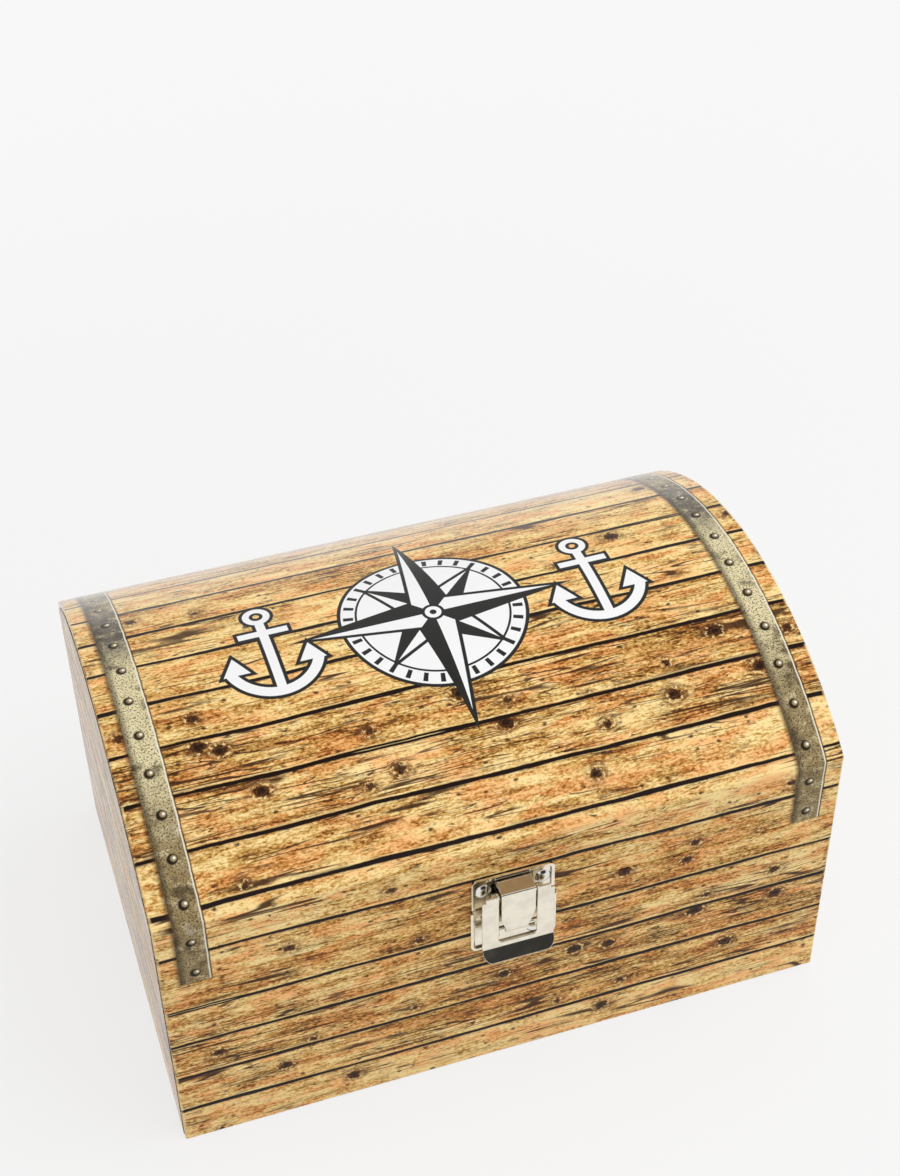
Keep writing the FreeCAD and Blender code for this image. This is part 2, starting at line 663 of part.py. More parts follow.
def latch_lever():
    """Lever: a slotted plate with a finger lip below and cheeks folded back along the slot."""
    body = new_body("latch_lever")
    back = "(lever_out - latch_steel)"
    flare = "sqrt(flare_out ^ 2 + flare_drop ^ 2)"
    end = "(-lever_flat)"
    back_end = f"(-lever_flat - latch_steel * ({flare} - flare_drop) / flare_out)"
    back_tip = f"(lever_out + flare_out - latch_steel * flare_drop / {flare})"
    lowest = f"(-lever_flat - flare_drop - latch_steel * flare_out / {flare})"
    sketch = new_sketch(body, "YZ")
    latch_outline(sketch, [
        ("lever_out", "lever_top"), ("lever_out", end), ("(lever_out + flare_out)", "(-lever_flat - flare_drop)"),
        (back_tip, lowest), (back, back_end), (back, "lever_top"),
    ], {})
    pad(body, sketch, "lever_width", both=True)
    round_edges(body, "flare_bend", [latch_place("lever_out", end)])
    round_edges(body, "flare_bend + latch_steel", [latch_place(back, back_end)])

    seat = "(lever_out - latch_steel / 2)"
    sketch = new_sketch(body, "YZ", out="slot_width / 2")
    latch_outline(sketch, [
        (seat, "(pivot_rise + cheek_head)"), ("pivot_out", "(pivot_rise + cheek_head)"),
        ("(pivot_out - cheek_head)", "pivot_rise"), ("(tongue_pin_out - cheek_radius)", "(-tongue_pin_drop)"),
        ("tongue_pin_out", "(-tongue_pin_drop - cheek_radius)"), (seat, "(-cheek_drop)"),
    ], {1: ("cheek_head", -1), 3: ("cheek_radius", -1)})
    mirror(body, [pad(body, sketch, "latch_steel")])

    sketch = new_sketch(body, "YZ")
    circle(sketch, *latch_place("pivot_out", "pivot_rise"), "(pivot_pin / 2 + running_fit)")
    circle(sketch, *latch_place("tongue_pin_out", "(-tongue_pin_drop)"), "(tongue_pin / 2 + press_fit)")
    cut(body, sketch, "lever_width", both=True)

    half, beyond = "(lever_width / 2)", "lever_width"
    top, above = "(base_height + lever_top)", "(base_height + 2 * lever_top)"
    slot, slot_end = "(slot_width / 2)", "(base_height - slot_drop)"
    sketch = new_sketch(body, "XZ")
    rounded_plate(sketch, slot, above, slot_end, "slot_corner", -1)
    cut(body, sketch, forward=True)
    slot_front = f"-({FRONT} + lever_out)"
    round_edges(body, "slot_roll", [(slot, slot_front), (f"-{slot}", slot_front)], along="Z")

    low = f"(base_height + {lowest})"
    below, shoulder = f"({low} - lever_corner)", f"({low} + lever_corner)"
    sketch = new_sketch(body, "XZ")
    for side, turn in (("", -1), ("-", 1)):
        loop(sketch, [
            (f"{side}({half} - lever_corner)", below), (f"{side}{beyond}", below), (f"{side}{beyond}", shoulder),
            (f"{side}{half}", shoulder), (f"{side}({half} - lever_corner)", low),
        ], {3: ("lever_corner", turn)})
        inner, notch = f"{side}({half} - lever_notch_width)", f"({top} - lever_notch_height)"
        loop(sketch, [(inner, notch), (f"{side}{beyond}", notch), (f"{side}{beyond}", above), (inner, above)])
    cut(body, sketch, forward=True)
    round_edges(body, "lever_roll", [latch_place("lever_out", "lever_top")])


def tongue_pin():
    """Cross pin of the tongue, fixed in the cheeks of the lever."""
    pin = doc.addObject("Part::Cylinder", "tongue_pin")
    pin.Label = "tongue_pin"
    half = f"({CHEEK_SIDE} + tongue_pin_end)"
    pin.setExpression("Radius", bound("tongue_pin / 2"))
    pin.setExpression("Height", bound(f"2 * {half}"))
    pin.Placement = FreeCAD.Placement(FreeCAD.Vector(), FreeCAD.Rotation(FreeCAD.Vector(0, 1, 0), 90))
    y, z = latch_place("tongue_pin_out", "(-tongue_pin_drop)")
    for axis, shift in (("x", f"-{half}"), ("y", y), ("z", z)):
        pin.setExpression(f"Placement.Base.{axis}", bound(shift))
    pieces.append(pin)


def latch_tongue():
    """Hooked tongue: rolled round its pin, up through the slot, back over the catch and down behind it."""
    body = new_body("latch_tongue")
    back = "(tongue_out - latch_steel)"
    slope = "(hook_rise / (tongue_out - claw_out))"
    thick = f"(latch_steel * sqrt(1 + {slope} ^ 2))"
    top = f"(catch_top + hook_gap + {thick} - {slope} * (tongue_out - catch_out - latch_steel))"
    under = f"({top} + {slope} * latch_steel - {thick})"
    claw_face = "(claw_out + latch_steel)"
    claw_under = f"({top} + hook_rise - {slope} * latch_steel - {thick})"
    claw_tip = "(catch_top - claw_drop)"
    eye_front = "(tongue_pin_out + eye_radius)"
    axis = "(-tongue_pin_drop)"
    sketch = new_sketch(body, "YZ")
    latch_outline(sketch, [
        ("tongue_out", "fold_rise"), ("tongue_out", top), ("claw_out", f"({top} + hook_rise)"),
        ("claw_out", claw_tip), (claw_face, claw_tip), (claw_face, claw_under), (back, under), (back, "fold_rise"),
        (f"({eye_front} - latch_steel)", axis), (eye_front, axis),
    ], {})
    pad(body, sketch, "tongue_width", both=True)
    round_edges(body, "hook_bend", [latch_place("tongue_out", top), latch_place("claw_out", f"({top} + hook_rise)")])
    round_edges(body, "hook_bend - latch_steel", [latch_place(back, under), latch_place(claw_face, claw_under)])
    round_edges(body, "fold_radius", [latch_place("tongue_out", "fold_rise")])
    round_edges(body, "fold_radius - latch_steel", [latch_place(back, "fold_rise")])

    half, waist = "(tongue_width / 2)", "(eye_width / 2)"
    shoulder, narrow = "(base_height + shoulder_rise)", "(base_height - waist_drop)"
    below = f"({narrow} - 2 * waist_drop)"
    taper = f"({half} - {waist})"
    curve = f"(({taper} ^ 2 + (shoulder_rise + waist_drop) ^ 2) / (2 * {taper}))"
    sketch = new_sketch(body, "XZ")
    for side, turn in (("", 1), ("-", -1)):
        loop(sketch, [
            (f"{side}{waist}", narrow), (f"{side}{half}", shoulder), (f"{side}tongue_width", shoulder),
            (f"{side}tongue_width", below), (f"{side}{waist}", below),
        ], {0: (curve, turn)})
    cut(body, sketch, forward=True)

    eye = latch_place("tongue_pin_out", axis)
    sketch = new_sketch(body, "YZ")
    circle(sketch, *eye, "eye_radius")
    pad(body, sketch, "eye_width", both=True)
    sketch = new_sketch(body, "YZ")
    circle(sketch, *eye, "(tongue_pin / 2 + running_fit)")
    cut(body, sketch, "tongue_width", both=True)


def rivets(label, places, plate, head, height, at_back=False):
    """Domed rivets through a plate and the whole wall, with rolled tails inside, as separate solids."""
    body = new_body(label)
    sign, turn = ("", 1) if at_back else ("-", -1)
    dome = f"(({head} / 2) ^ 2 + {height} ^ 2) / (2 * {height})"
    inner = "" if sign else "-"
    tail_end = f"({GRIP} + tail_height)"
    turnings = []
    for across, up in places:
        sketch = new_sketch(body, "YZ", across=f"{sign}{FRONT}", up=up, out=across)
        loop(sketch, [
            (f"{sign}({plate} + {height})", "0"), (f"{sign}{plate}", f"({head} / 2)"),
            (f"{sign}{plate}", "(rivet_shank / 2)"), (f"{inner}{GRIP}", "(rivet_shank / 2)"),
            (f"{inner}{GRIP}", "(rivet_tail / 2)"), (f"{inner}{tail_end}", "(rivet_tail / 2 - tail_height / 2)"),
            (f"{inner}{tail_end}", "0"),
        ], {0: (dome, turn)})
        turnings.append(turned(body, sketch))
    mirror(body, turnings)


# Hinges at the back.

def hinge_leaf(label, side, sign, middle):
    """Leaf above (+) or below (-) the axis, with the middle knuckle or with the two outer ones."""
    body = new_body(label)
    half = "(hinge_width / 2)"
    near = f"({HINGE_Z} {sign} (knuckle_radius + knuckle_gap))"
    far = f"({HINGE_Z} {sign} leaf_height)"
    sketch = new_sketch(body, "XZ", out=f"-({FRONT} + hinge_steel)")
    rounded_plate(sketch, half, near, far, "leaf_corner", 1 if sign == "+" else -1)
    for across in ("(hinge_rivet_pitch / 2)", "(-hinge_rivet_pitch / 2)"):
        circle(sketch, across, f"({HINGE_Z} {sign} hinge_rivet_rise)", RIVET_HOLE)
    pad(body, sketch, "hinge_steel")

    knuckle = "(knuckle_width / 2 - knuckle_gap)"
    outer = "(knuckle_width / 2)"
    features = []
    for shape in ("tab", "knuckle"):
        sketch = new_sketch(body, "YZ", out=None if middle else outer)
        if shape == "tab":
            low, high = (HINGE_Z, near) if sign == "+" else (near, HINGE_Z)
            rectangle(sketch, FRONT, f"({FRONT} + hinge_steel)", low, high)
        else:
            circle(sketch, HINGE_Y, HINGE_Z, "knuckle_radius")
        features.append(pad(body, sketch, f"2 * {knuckle}" if middle else f"{half} - {outer}", both=middle))
    if not middle:
        mirror(body, features)
    sketch = new_sketch(body, "YZ")
    circle(sketch, HINGE_Y, HINGE_Z, f"(hinge_pin / 2 + {'running_fit' if middle else 'press_fit'})")
    cut(body, sketch, "hinge_width", both=True)
    body.setExpression("Placement.Base.x", bound(f"{side} * hinge_spacing / 2"))


def hinge_pin(label, side):
    """Pin of a hinge, fixed in the outer knuckles."""
    pin = doc.addObject("Part::Cylinder", label)
    pin.Label = label
    pin.setExpression("Radius", bound("hinge_pin / 2"))
    pin.setExpression("Height", bound("hinge_width + 2 * hinge_pin_end"))
    pin.Placement = FreeCAD.Placement(FreeCAD.Vector(), FreeCAD.Rotation(FreeCAD.Vector(0, 1, 0), 90))
    start = f"{side} * hinge_spacing / 2 - hinge_width / 2 - hinge_pin_end"
    for axis, shift in (("x", start), ("y", HINGE_Y), ("z", HINGE_Z)):
        pin.setExpression(f"Placement.Base.{axis}", bound(shift))
    pieces.append(pin)


bottom_board()
wall_board("base_front_board", PLATE_RIVETS)
wall_board("base_back_board", hinge_rivets("-"), at_back=True)
end_board("base_right_board")
end_board("base_left_board", at_left=True)
wall_wrap("base_front_wrap", PLATE_RIVETS)
wall_wrap("base_back_wrap", hinge_rivets("-"), at_back=True)
base_end_paper("base_right_paper")
base_end_paper("base_left_paper", at_left=True)
bottom_paper()
base_lining()

lid_shell_board()
lid_end_board("lid_right_board")
lid_end_board("lid_left_board", at_left=True)
lid_wrap()
lid_end_paper("lid_right_paper")
lid_end_paper("lid_left_paper", at_left=True)
lid_lining()

strike_plate()
rivets("strike_rivets", STRIKE_RIVETS, "latch_steel", "latch_rivet_head", "latch_rivet_height")
latch_plate()
rivets("latch_plate_rivets", PLATE_RIVETS, "(latch_steel + panel_height)", "latch_rivet_head",
       "latch_rivet_height")
lever_pivots()
latch_lever()
tongue_pin()
latch_tongue()

for name, hand in (("right", "1"), ("left", "-1")):
    hinge_leaf(f"hinge_{name}_base_leaf", hand, "-", middle=False)
    hinge_leaf(f"hinge_{name}_lid_leaf", hand, "+", middle=True)
    hinge_pin(f"hinge_{name}_pin", hand)
rivets("hinge_base_rivets", hinge_rivets("-"), "hinge_steel", "hinge_rivet_head", "hinge_rivet_height", at_back=True)
rivets("hinge_lid_rivets", hinge_rivets("+"), "hinge_steel", "hinge_rivet_head", "hinge_rivet_height", at_back=True)

doc.recompute()
failed = [item.Label for item in doc.Objects if "Invalid" in item.State or "Error" in item.State]
if failed:
    raise RuntimeError(f"failed objects: {failed}")
for piece in pieces:
    if piece.Shape.isNull() or not piece.Shape.isValid():
        raise RuntimeError(f"bad shape: {piece.Label}")

os.makedirs("parts", exist_ok=True)
for piece in pieces:
    piece.Shape.exportStep(f"parts/{piece.Label}.step")
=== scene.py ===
import json
import math
from functools import partial, partialmethod, reduce

import bmesh
import bpy
from bpy.props import FloatProperty, FloatVectorProperty, IntProperty, PointerProperty
from mathutils import Matrix, Vector


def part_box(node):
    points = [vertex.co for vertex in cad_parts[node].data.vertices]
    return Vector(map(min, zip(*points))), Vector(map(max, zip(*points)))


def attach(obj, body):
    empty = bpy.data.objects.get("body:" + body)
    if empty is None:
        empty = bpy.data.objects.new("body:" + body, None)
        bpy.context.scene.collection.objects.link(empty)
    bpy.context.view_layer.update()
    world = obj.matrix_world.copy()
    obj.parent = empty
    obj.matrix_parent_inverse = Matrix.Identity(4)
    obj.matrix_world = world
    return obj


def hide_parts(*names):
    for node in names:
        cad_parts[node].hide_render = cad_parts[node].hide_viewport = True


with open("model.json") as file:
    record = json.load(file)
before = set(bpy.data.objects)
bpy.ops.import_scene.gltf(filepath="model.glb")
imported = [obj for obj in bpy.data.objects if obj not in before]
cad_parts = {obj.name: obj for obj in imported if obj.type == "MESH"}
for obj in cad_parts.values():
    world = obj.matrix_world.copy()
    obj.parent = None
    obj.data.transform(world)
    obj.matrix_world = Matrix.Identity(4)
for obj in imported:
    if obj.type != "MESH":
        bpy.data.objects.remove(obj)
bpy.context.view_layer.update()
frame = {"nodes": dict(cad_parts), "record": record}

bl_info = {
    "name": "Treasure Chest Box",
    "version": (1, 0, 0),
    "blender": (4, 5, 0),
    "location": "View3D > Sidebar > Chest",
    "description": "Printed paper, linings, latch finish and stage for a paper-covered treasure chest",
    "category": "Object",
}

MM = 0.001

# Sizes of the covered box, read from the frame where a node shows them.
PAPER = 0.25 * MM
GLUE = 0.05 * MM
BOARD = 2 * MM
SKIN = PAPER + GLUE
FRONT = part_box("lid_wrap")[1].y
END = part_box("lid_right_paper")[1].x
FLAP_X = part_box("lid_wrap")[1].x
BASE_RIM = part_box("base_front_wrap")[1].z
BASE_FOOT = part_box("base_front_wrap")[0].z
LID_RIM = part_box("lid_wrap")[0].z
LID_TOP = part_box("lid_wrap")[1].z
TURN_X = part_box("lid_right_paper")[0].x
TURN_Y = FRONT - 2 * SKIN - BOARD
BETWEEN_ENDS = TURN_X + PAPER
TURN_IN = 14 * MM
UNDER_FLAP = 12 * MM
END_FLAP = 6 * MM
END_MARGIN = 3 * MM
LIP_HEIGHT = 35 * MM
CREASE_RADIUS = 2.5 * MM
EDGE_RADIUS = 0.8 * MM
FOLD = FLAP_X - EDGE_RADIUS * (1 - math.pi / 4)
DOME_RISE = LID_TOP - BASE_RIM - LIP_HEIGHT
DOME_RADIUS = (FRONT ** 2 + DOME_RISE ** 2) / (2 * DOME_RISE)
DOME_CENTRE = LID_TOP - DOME_RADIUS
CREASE_CENTRE_Y = FRONT - CREASE_RADIUS
CREASE_CENTRE_Z = DOME_CENTRE + math.sqrt((DOME_RADIUS - CREASE_RADIUS) ** 2 - CREASE_CENTRE_Y ** 2)
DOME_HALF_ANGLE = math.atan2(CREASE_CENTRE_Y, CREASE_CENTRE_Z - DOME_CENTRE)

# Steps of the meshes.
CORNER_STEPS = 4
CREASE_STEPS = 6
DOME_STEPS = 72
ACROSS_STEPS = 24
RIM_ROWS = 1 + CORNER_STEPS

# Print: cells that hold one knot or speck, and how seldom they do.
SEAM_WANDER = 3 * MM
KNOT_CELL = 30 * MM
KNOT_RADII = (0.8 * MM, 2.7 * MM)
KNOT_LIMIT = 0.86
SPECK_CELL = (13 * MM, 8 * MM)
SPECK_LIMIT = 0.72
# Streaks of the wood: run along and width across the grain, per metre, and weight.
WOOD_STREAKS = ((9, 40, 0.75), (32, 170, 0.95), (110, 520, 0.95), (520, 1100, 1.40))
# Dark lines of the grain: run, width, lines in the noise, reach, strength and level of the noise.
GRAIN_LINES = ((5, 90, 10, 0.17, 0.95, 40.0), (8, 210, 8, 0.13, 0.85, 60.0), (34, 300, 5, 0.08, 0.90, 80.0))
# Tones of the straps: from and to these millimetres above the rim.
STRAP_TONES = ((58, 112, "strap_pale"), (150, 180, "strap_grey"), (196, 216, "strap_bronze"))
RIVET_HIGHLIGHT = (0.95, 0.93, 0.86)
WRAP_GLOSS = 0.8
END_GLOSS = 0.4

# Stage: metres, and lamps by name, place, side and power.
FLOOR_REACH = 4.0
FLOOR_GLOW = (0.935, 0.935, 0.935)
SHADOW_REACH = (0.30, 0.9)
BACKGROUND = (0.97, 0.97, 0.97)
WARM_CARD = (1.0, 0.66, 0.36)
LIGHT_LEVEL = 0.44
SHOWN_LEVEL = 0.95
LAMPS = (("key", (0.8, -0.4, 2.4), 3.0, 50), ("fill", (1.4, -1.1, 1.5), 1.8, 5))


def Length(name, description, default):
    """Property that holds a length."""
    return FloatProperty(name=name, description=description, default=default, unit="LENGTH")


def Colour(name, description, default):
    """Property that holds a colour."""
    return FloatVectorProperty(name=name, description=description, default=default, subtype="COLOR", size=3)


def Angle(name, description, degrees):
    """Property that holds an angle."""
    return FloatProperty(name=name, description=description, default=math.radians(degrees), subtype="ANGLE")


class ChestPrint(bpy.types.PropertyGroup):
    """Wood and strap print on the papers."""

    lid_plank: Length("Lid plank", "Width of the planks on the lid", 22.75 * MM)
    lid_first_seam: Length("Lid first seam", "Lowest seam above the rim of the lid", 18 * MM)
    base_plank: Length("Base plank", "Width of the planks on the base", 22.2 * MM)
    base_first_seam: Length("Base first seam", "Lowest seam above the foot of the base", 19.7 * MM)
    seam: Length("Seam", "Width of the dark line between planks", 1.7 * MM)
    wood_dark: Colour("Dark grain", "Darkest lines of the grain", (0.055, 0.020, 0.007))
    wood_brown: Colour("Brown wood", "Brown stretches of the wood", (0.33, 0.135, 0.026))
    wood_gold: Colour("Gold wood", "Main tone of the wood", (0.65, 0.368, 0.090))
    wood_pale: Colour("Pale wood", "Palest stretches of the wood", (1.0, 0.765, 0.35))
    wood_umber: Colour("Umber wood", "Clouds about the knots", (0.15, 0.052, 0.014))
    wood_red: Colour("Red tint", "Tint of the redder stretches", (1.0, 0.66, 0.55))
    seam_ink: Colour("Seam ink", "Colour of seams and knots", (0.012, 0.006, 0.005))
    strap_place: Length("Strap place", "Middle of each strap, from the middle of the lid", 135 * MM)
    strap_width: Length("Strap width", "Width of the printed straps", 13 * MM)
    rivet_pitch: Length("Rivet pitch", "Between the printed rivets of a strap", 18.5 * MM)
    first_rivet: Length("First rivet", "Lowest printed rivet above the rim", 6.5 * MM)
    strap_dark: Colour("Strap dark", "Pits and edges of the straps", (0.045, 0.030, 0.014))
    strap_bronze: Colour("Strap bronze", "Straps near the rims", (0.34, 0.25, 0.115))
    strap_grey: Colour("Strap grey", "Tarnished stretch of the straps", (0.17, 0.145, 0.115))
    strap_pale: Colour("Strap pale", "Worn bright stretch of the straps", (0.80, 0.70, 0.42))
    strap_glint: Colour("Strap glint", "Bright edge of the straps", (0.86, 0.80, 0.66))


class ChestEmblem(bpy.types.PropertyGroup):
    """Black and white print on the dome: a compass rose between two anchors."""

    middle: Length("Height", "Middle of the print, along the lid from its rim", 147 * MM)
    long_point: Length("Long points", "Length of the four long points of the rose", 54 * MM)
    short_point: Length("Short points", "Length of the four short points of the rose", 32 * MM)
    valley: Length("Valley", "Place of the inner corners of the rose, on each axis", 7.5 * MM)
    ring: Length("Ring", "Radius of the white disc of the rose", 40 * MM)
    ticks: IntProperty(name="Ticks", description="Marks around the ring", default=32)
    anchor_place: Length("Anchor place", "Middle of each anchor, from the middle", 73 * MM)
    outline: Length("Outline", "Black outline round the white shapes", 1.6 * MM)
    ink: Colour("Ink", "Black of the print", (0.024, 0.024, 0.023))
    white: Colour("White", "White of the print", (0.90, 0.90, 0.90))


class ChestMetal(bpy.types.PropertyGroup):
    """Nickel plate of the latch and hinges."""

    nickel: Colour("Nickel", "Colour of the plate", (0.885, 0.83, 0.70))
    smear: Colour("Smear", "Colour of the faint smears on the plate", (0.66, 0.605, 0.51))
    edge: Length("Edge", "Rounding of the sheet edges", 0.3 * MM)
    latch_head: Length("Latch rivets", "Diameter of the rivet heads of the latch", 7 * MM)
    latch_dome: Length("Latch domes", "Height of those heads", 1.5 * MM)
    hinge_head: Length("Hinge rivets", "Diameter of the rivet heads of the hinges", 5 * MM)
    hinge_dome: Length("Hinge domes", "Height of those heads", 1.2 * MM)
    hinge_pitch: Length("Hinge rivet pitch", "Between the two rivets of a hinge leaf", 15 * MM)
    head_rim: Length("Head rim", "Height of the edge of a rivet head", 0.2 * MM)
    shank: Length("Shank", "Diameter of the rivets", 2.5 * MM)
    tail: Length("Tail", "Diameter of the rolled tails", 6 * MM)
    tail_height: Length("Tail height", "Height of the rolled tails", 0.8 * MM)


class ChestStage(bpy.types.PropertyGroup):
    """Floor, light and camera."""

    floor: Colour("Floor", "Colour of the floor", (0.90, 0.90, 0.90))
    turn: Angle("Camera turn", "Camera to the left of the front", -17.748)
    height: Angle("Camera height", "Camera above the horizon", 40.892)
    roll: Angle("Camera roll", "Tilt of the picture", -0.938)
    distance: Length("Camera distance", "Camera from its aim", 867.27 * MM)
    aim: FloatVectorProperty(name="Camera aim", description="Point in the middle of the picture",
                             subtype="TRANSLATION", size=3, default=(8.58 * MM, 0, 187.2 * MM))
    lens: FloatProperty(name="Lens", description="Focal length on a 36 mm high picture", default=61.715)


# Node trees

class Value:
    """Output of a node; arithmetic on it adds Math nodes to its graph."""

    def __init__(self, graph, socket):
        self.graph = graph
        self.socket = socket

    def step(self, operation, *terms):
        """Result of one arithmetic step that begins with this value."""
        return self.graph.math(operation, self, *terms)

    __add__ = partialmethod(step, "ADD")
    __sub__ = partialmethod(step, "SUBTRACT")
    __mul__ = partialmethod(step, "MULTIPLY")
    __truediv__ = partialmethod(step, "DIVIDE")
    __gt__ = partialmethod(step, "GREATER_THAN")
    __lt__ = partialmethod(step, "LESS_THAN")
    __abs__ = partialmethod(step, "ABSOLUTE")
    __floor__ = partialmethod(step, "FLOOR")
    __round__ = partialmethod(step, "ROUND")
    fraction = partialmethod(step, "FRACT")

    def __rsub__(self, other):
        return self.graph.math("SUBTRACT", other, self)

    def smooth(self, low, high, start=0.0, stop=1.0):
        """Smooth step of the value from start at low to stop at high."""
        inputs = {"Value": self, "From Min": low, "From Max": high, "To Min": start, "To Max": stop}
        return self.graph.value("ShaderNodeMapRange", inputs, interpolation_type="SMOOTHSTEP")

    def fade(self, low, high, full=1.0):
        """Smooth step of the value from full at low to nothing at high."""
        return self.smooth(low, high, full, 0.0)


class Graph:
    """Short way to add nodes to one tree."""

    def __init__(self, tree):
        self.tree = tree

    def node(self, kind, inputs=None, **settings):
        """New node with its settings and inputs."""
        node = self.tree.nodes.new(kind)
        for name, value in settings.items():
            setattr(node, name, value)
        return self.fill(node, inputs or {})

    def fill(self, node, inputs):
        """The node with its inputs set or linked by name or number."""
        for key, value in inputs.items():
            self.feed(node.inputs[key], value)
        return node

    def value(self, kind, inputs=None, output=0, **settings):
        """One output of a new node."""
        return Value(self, self.node(kind, inputs, **settings).outputs[output])

    def values(self, kind, inputs=None, **settings):
        """All outputs of a new node, by name."""
        return {socket.name: Value(self, socket) for socket in self.node(kind, inputs, **settings).outputs}

    def feed(self, socket, value):
        """Link an output to the socket, or set its value."""
        if isinstance(value, Value):
            value = value.socket
        if isinstance(value, bpy.types.NodeSocket):
            self.tree.links.new(value, socket)
        elif socket.type == "RGBA" and len(value) == 3:
            socket.default_value = (*value, 1)
        else:
            socket.default_value = value

    def math(self, operation, *terms):
        """Result of one arithmetic step."""
        return self.value("ShaderNodeMath", dict(enumerate(terms)), operation=operation)

    def length(self, x, y):
        """Length of the line across and up."""
        return self.math("SQRT", x * x + y * y)

    def most(self, *terms):
        """Largest of the terms."""
        return reduce(partial(self.math, "MAXIMUM"), terms)

    def least(self, *terms):
        """Smallest of the terms."""
        return reduce(partial(self.math, "MINIMUM"), terms)

    def mix(self, factor, first, second, blend="MIX"):
        """Two colours mixed by the factor."""
        inputs = {0: factor, 6: first, 7: second}
        return self.value("ShaderNodeMix", inputs, 2, data_type="RGBA", blend_type=blend)

    def paint(self, base, *layers):
        """The base colour under layers of (mask, colour)."""
        return reduce(lambda under, layer: self.mix(layer[0], under, layer[1]), layers, base)

    def vector(self, x, y, z=0.0):
        """Vector from three values."""
        return self.value("ShaderNodeCombineXYZ", {0: x, 1: y, 2: z})

    def place(self, kind="Object"):
        """Coordinates of the shaded point."""
        return self.value("ShaderNodeTexCoord", output=kind)

    def noise(self, vector, scale=1.0, detail=2.0, roughness=0.5, distortion=0.0):
        """Smooth noise value."""
        inputs = {"Vector": vector, "Scale": scale, "Detail": detail, "Roughness": roughness,
                  "Distortion": distortion}
        return self.value("ShaderNodeTexNoise", inputs)

    def chance(self, vector):
        """Random value that is the same wherever the vector is."""
        return self.value("ShaderNodeTexWhiteNoise", {"Vector": vector}, noise_dimensions="3D")

    def cells(self, vector, randomness):
        """Outputs of scattered points, about one in each unit of the plane."""
        inputs = {"Vector": vector, "Scale": 1.0, "Randomness": randomness}
        return self.values("ShaderNodeTexVoronoi", inputs, voronoi_dimensions="2D")

    def ramp(self, factor, *stops):
        """Colour of the factor between stops of (place, colour)."""
        node = self.node("ShaderNodeValToRGB", {"Fac": factor})
        elements = node.color_ramp.elements
        while len(elements) < len(stops):
            elements.new(0.5)
        for element, (place, colour) in zip(elements, stops):
            element.position = place
            element.color = (*colour, 1)
        return Value(self, node.outputs[0])

    def bump(self, height, strength, distance, **inputs):
        """Normal of a surface with that height."""
        inputs.update(Height=height, Strength=strength, Distance=distance)
        return self.value("ShaderNodeBump", inputs)


def swayed(base, noise, reach):
    """The base moved to and fro by the noise, over the reach."""
    return (noise - 0.5) * reach + base


def new_group(name, inputs, outputs):
    """Graph of a new shader node group with float inputs, and what it is given."""
    tree = bpy.data.node_groups.new(name, "ShaderNodeTree")
    for label in inputs:
        tree.interface.new_socket(label, in_out="INPUT", socket_type="NodeSocketFloat")
    for label, kind in outputs.items():
        tree.interface.new_socket(label, in_out="OUTPUT", socket_type=f"NodeSocket{kind}")
    graph = Graph(tree)
    return graph, graph.values("NodeGroupInput")


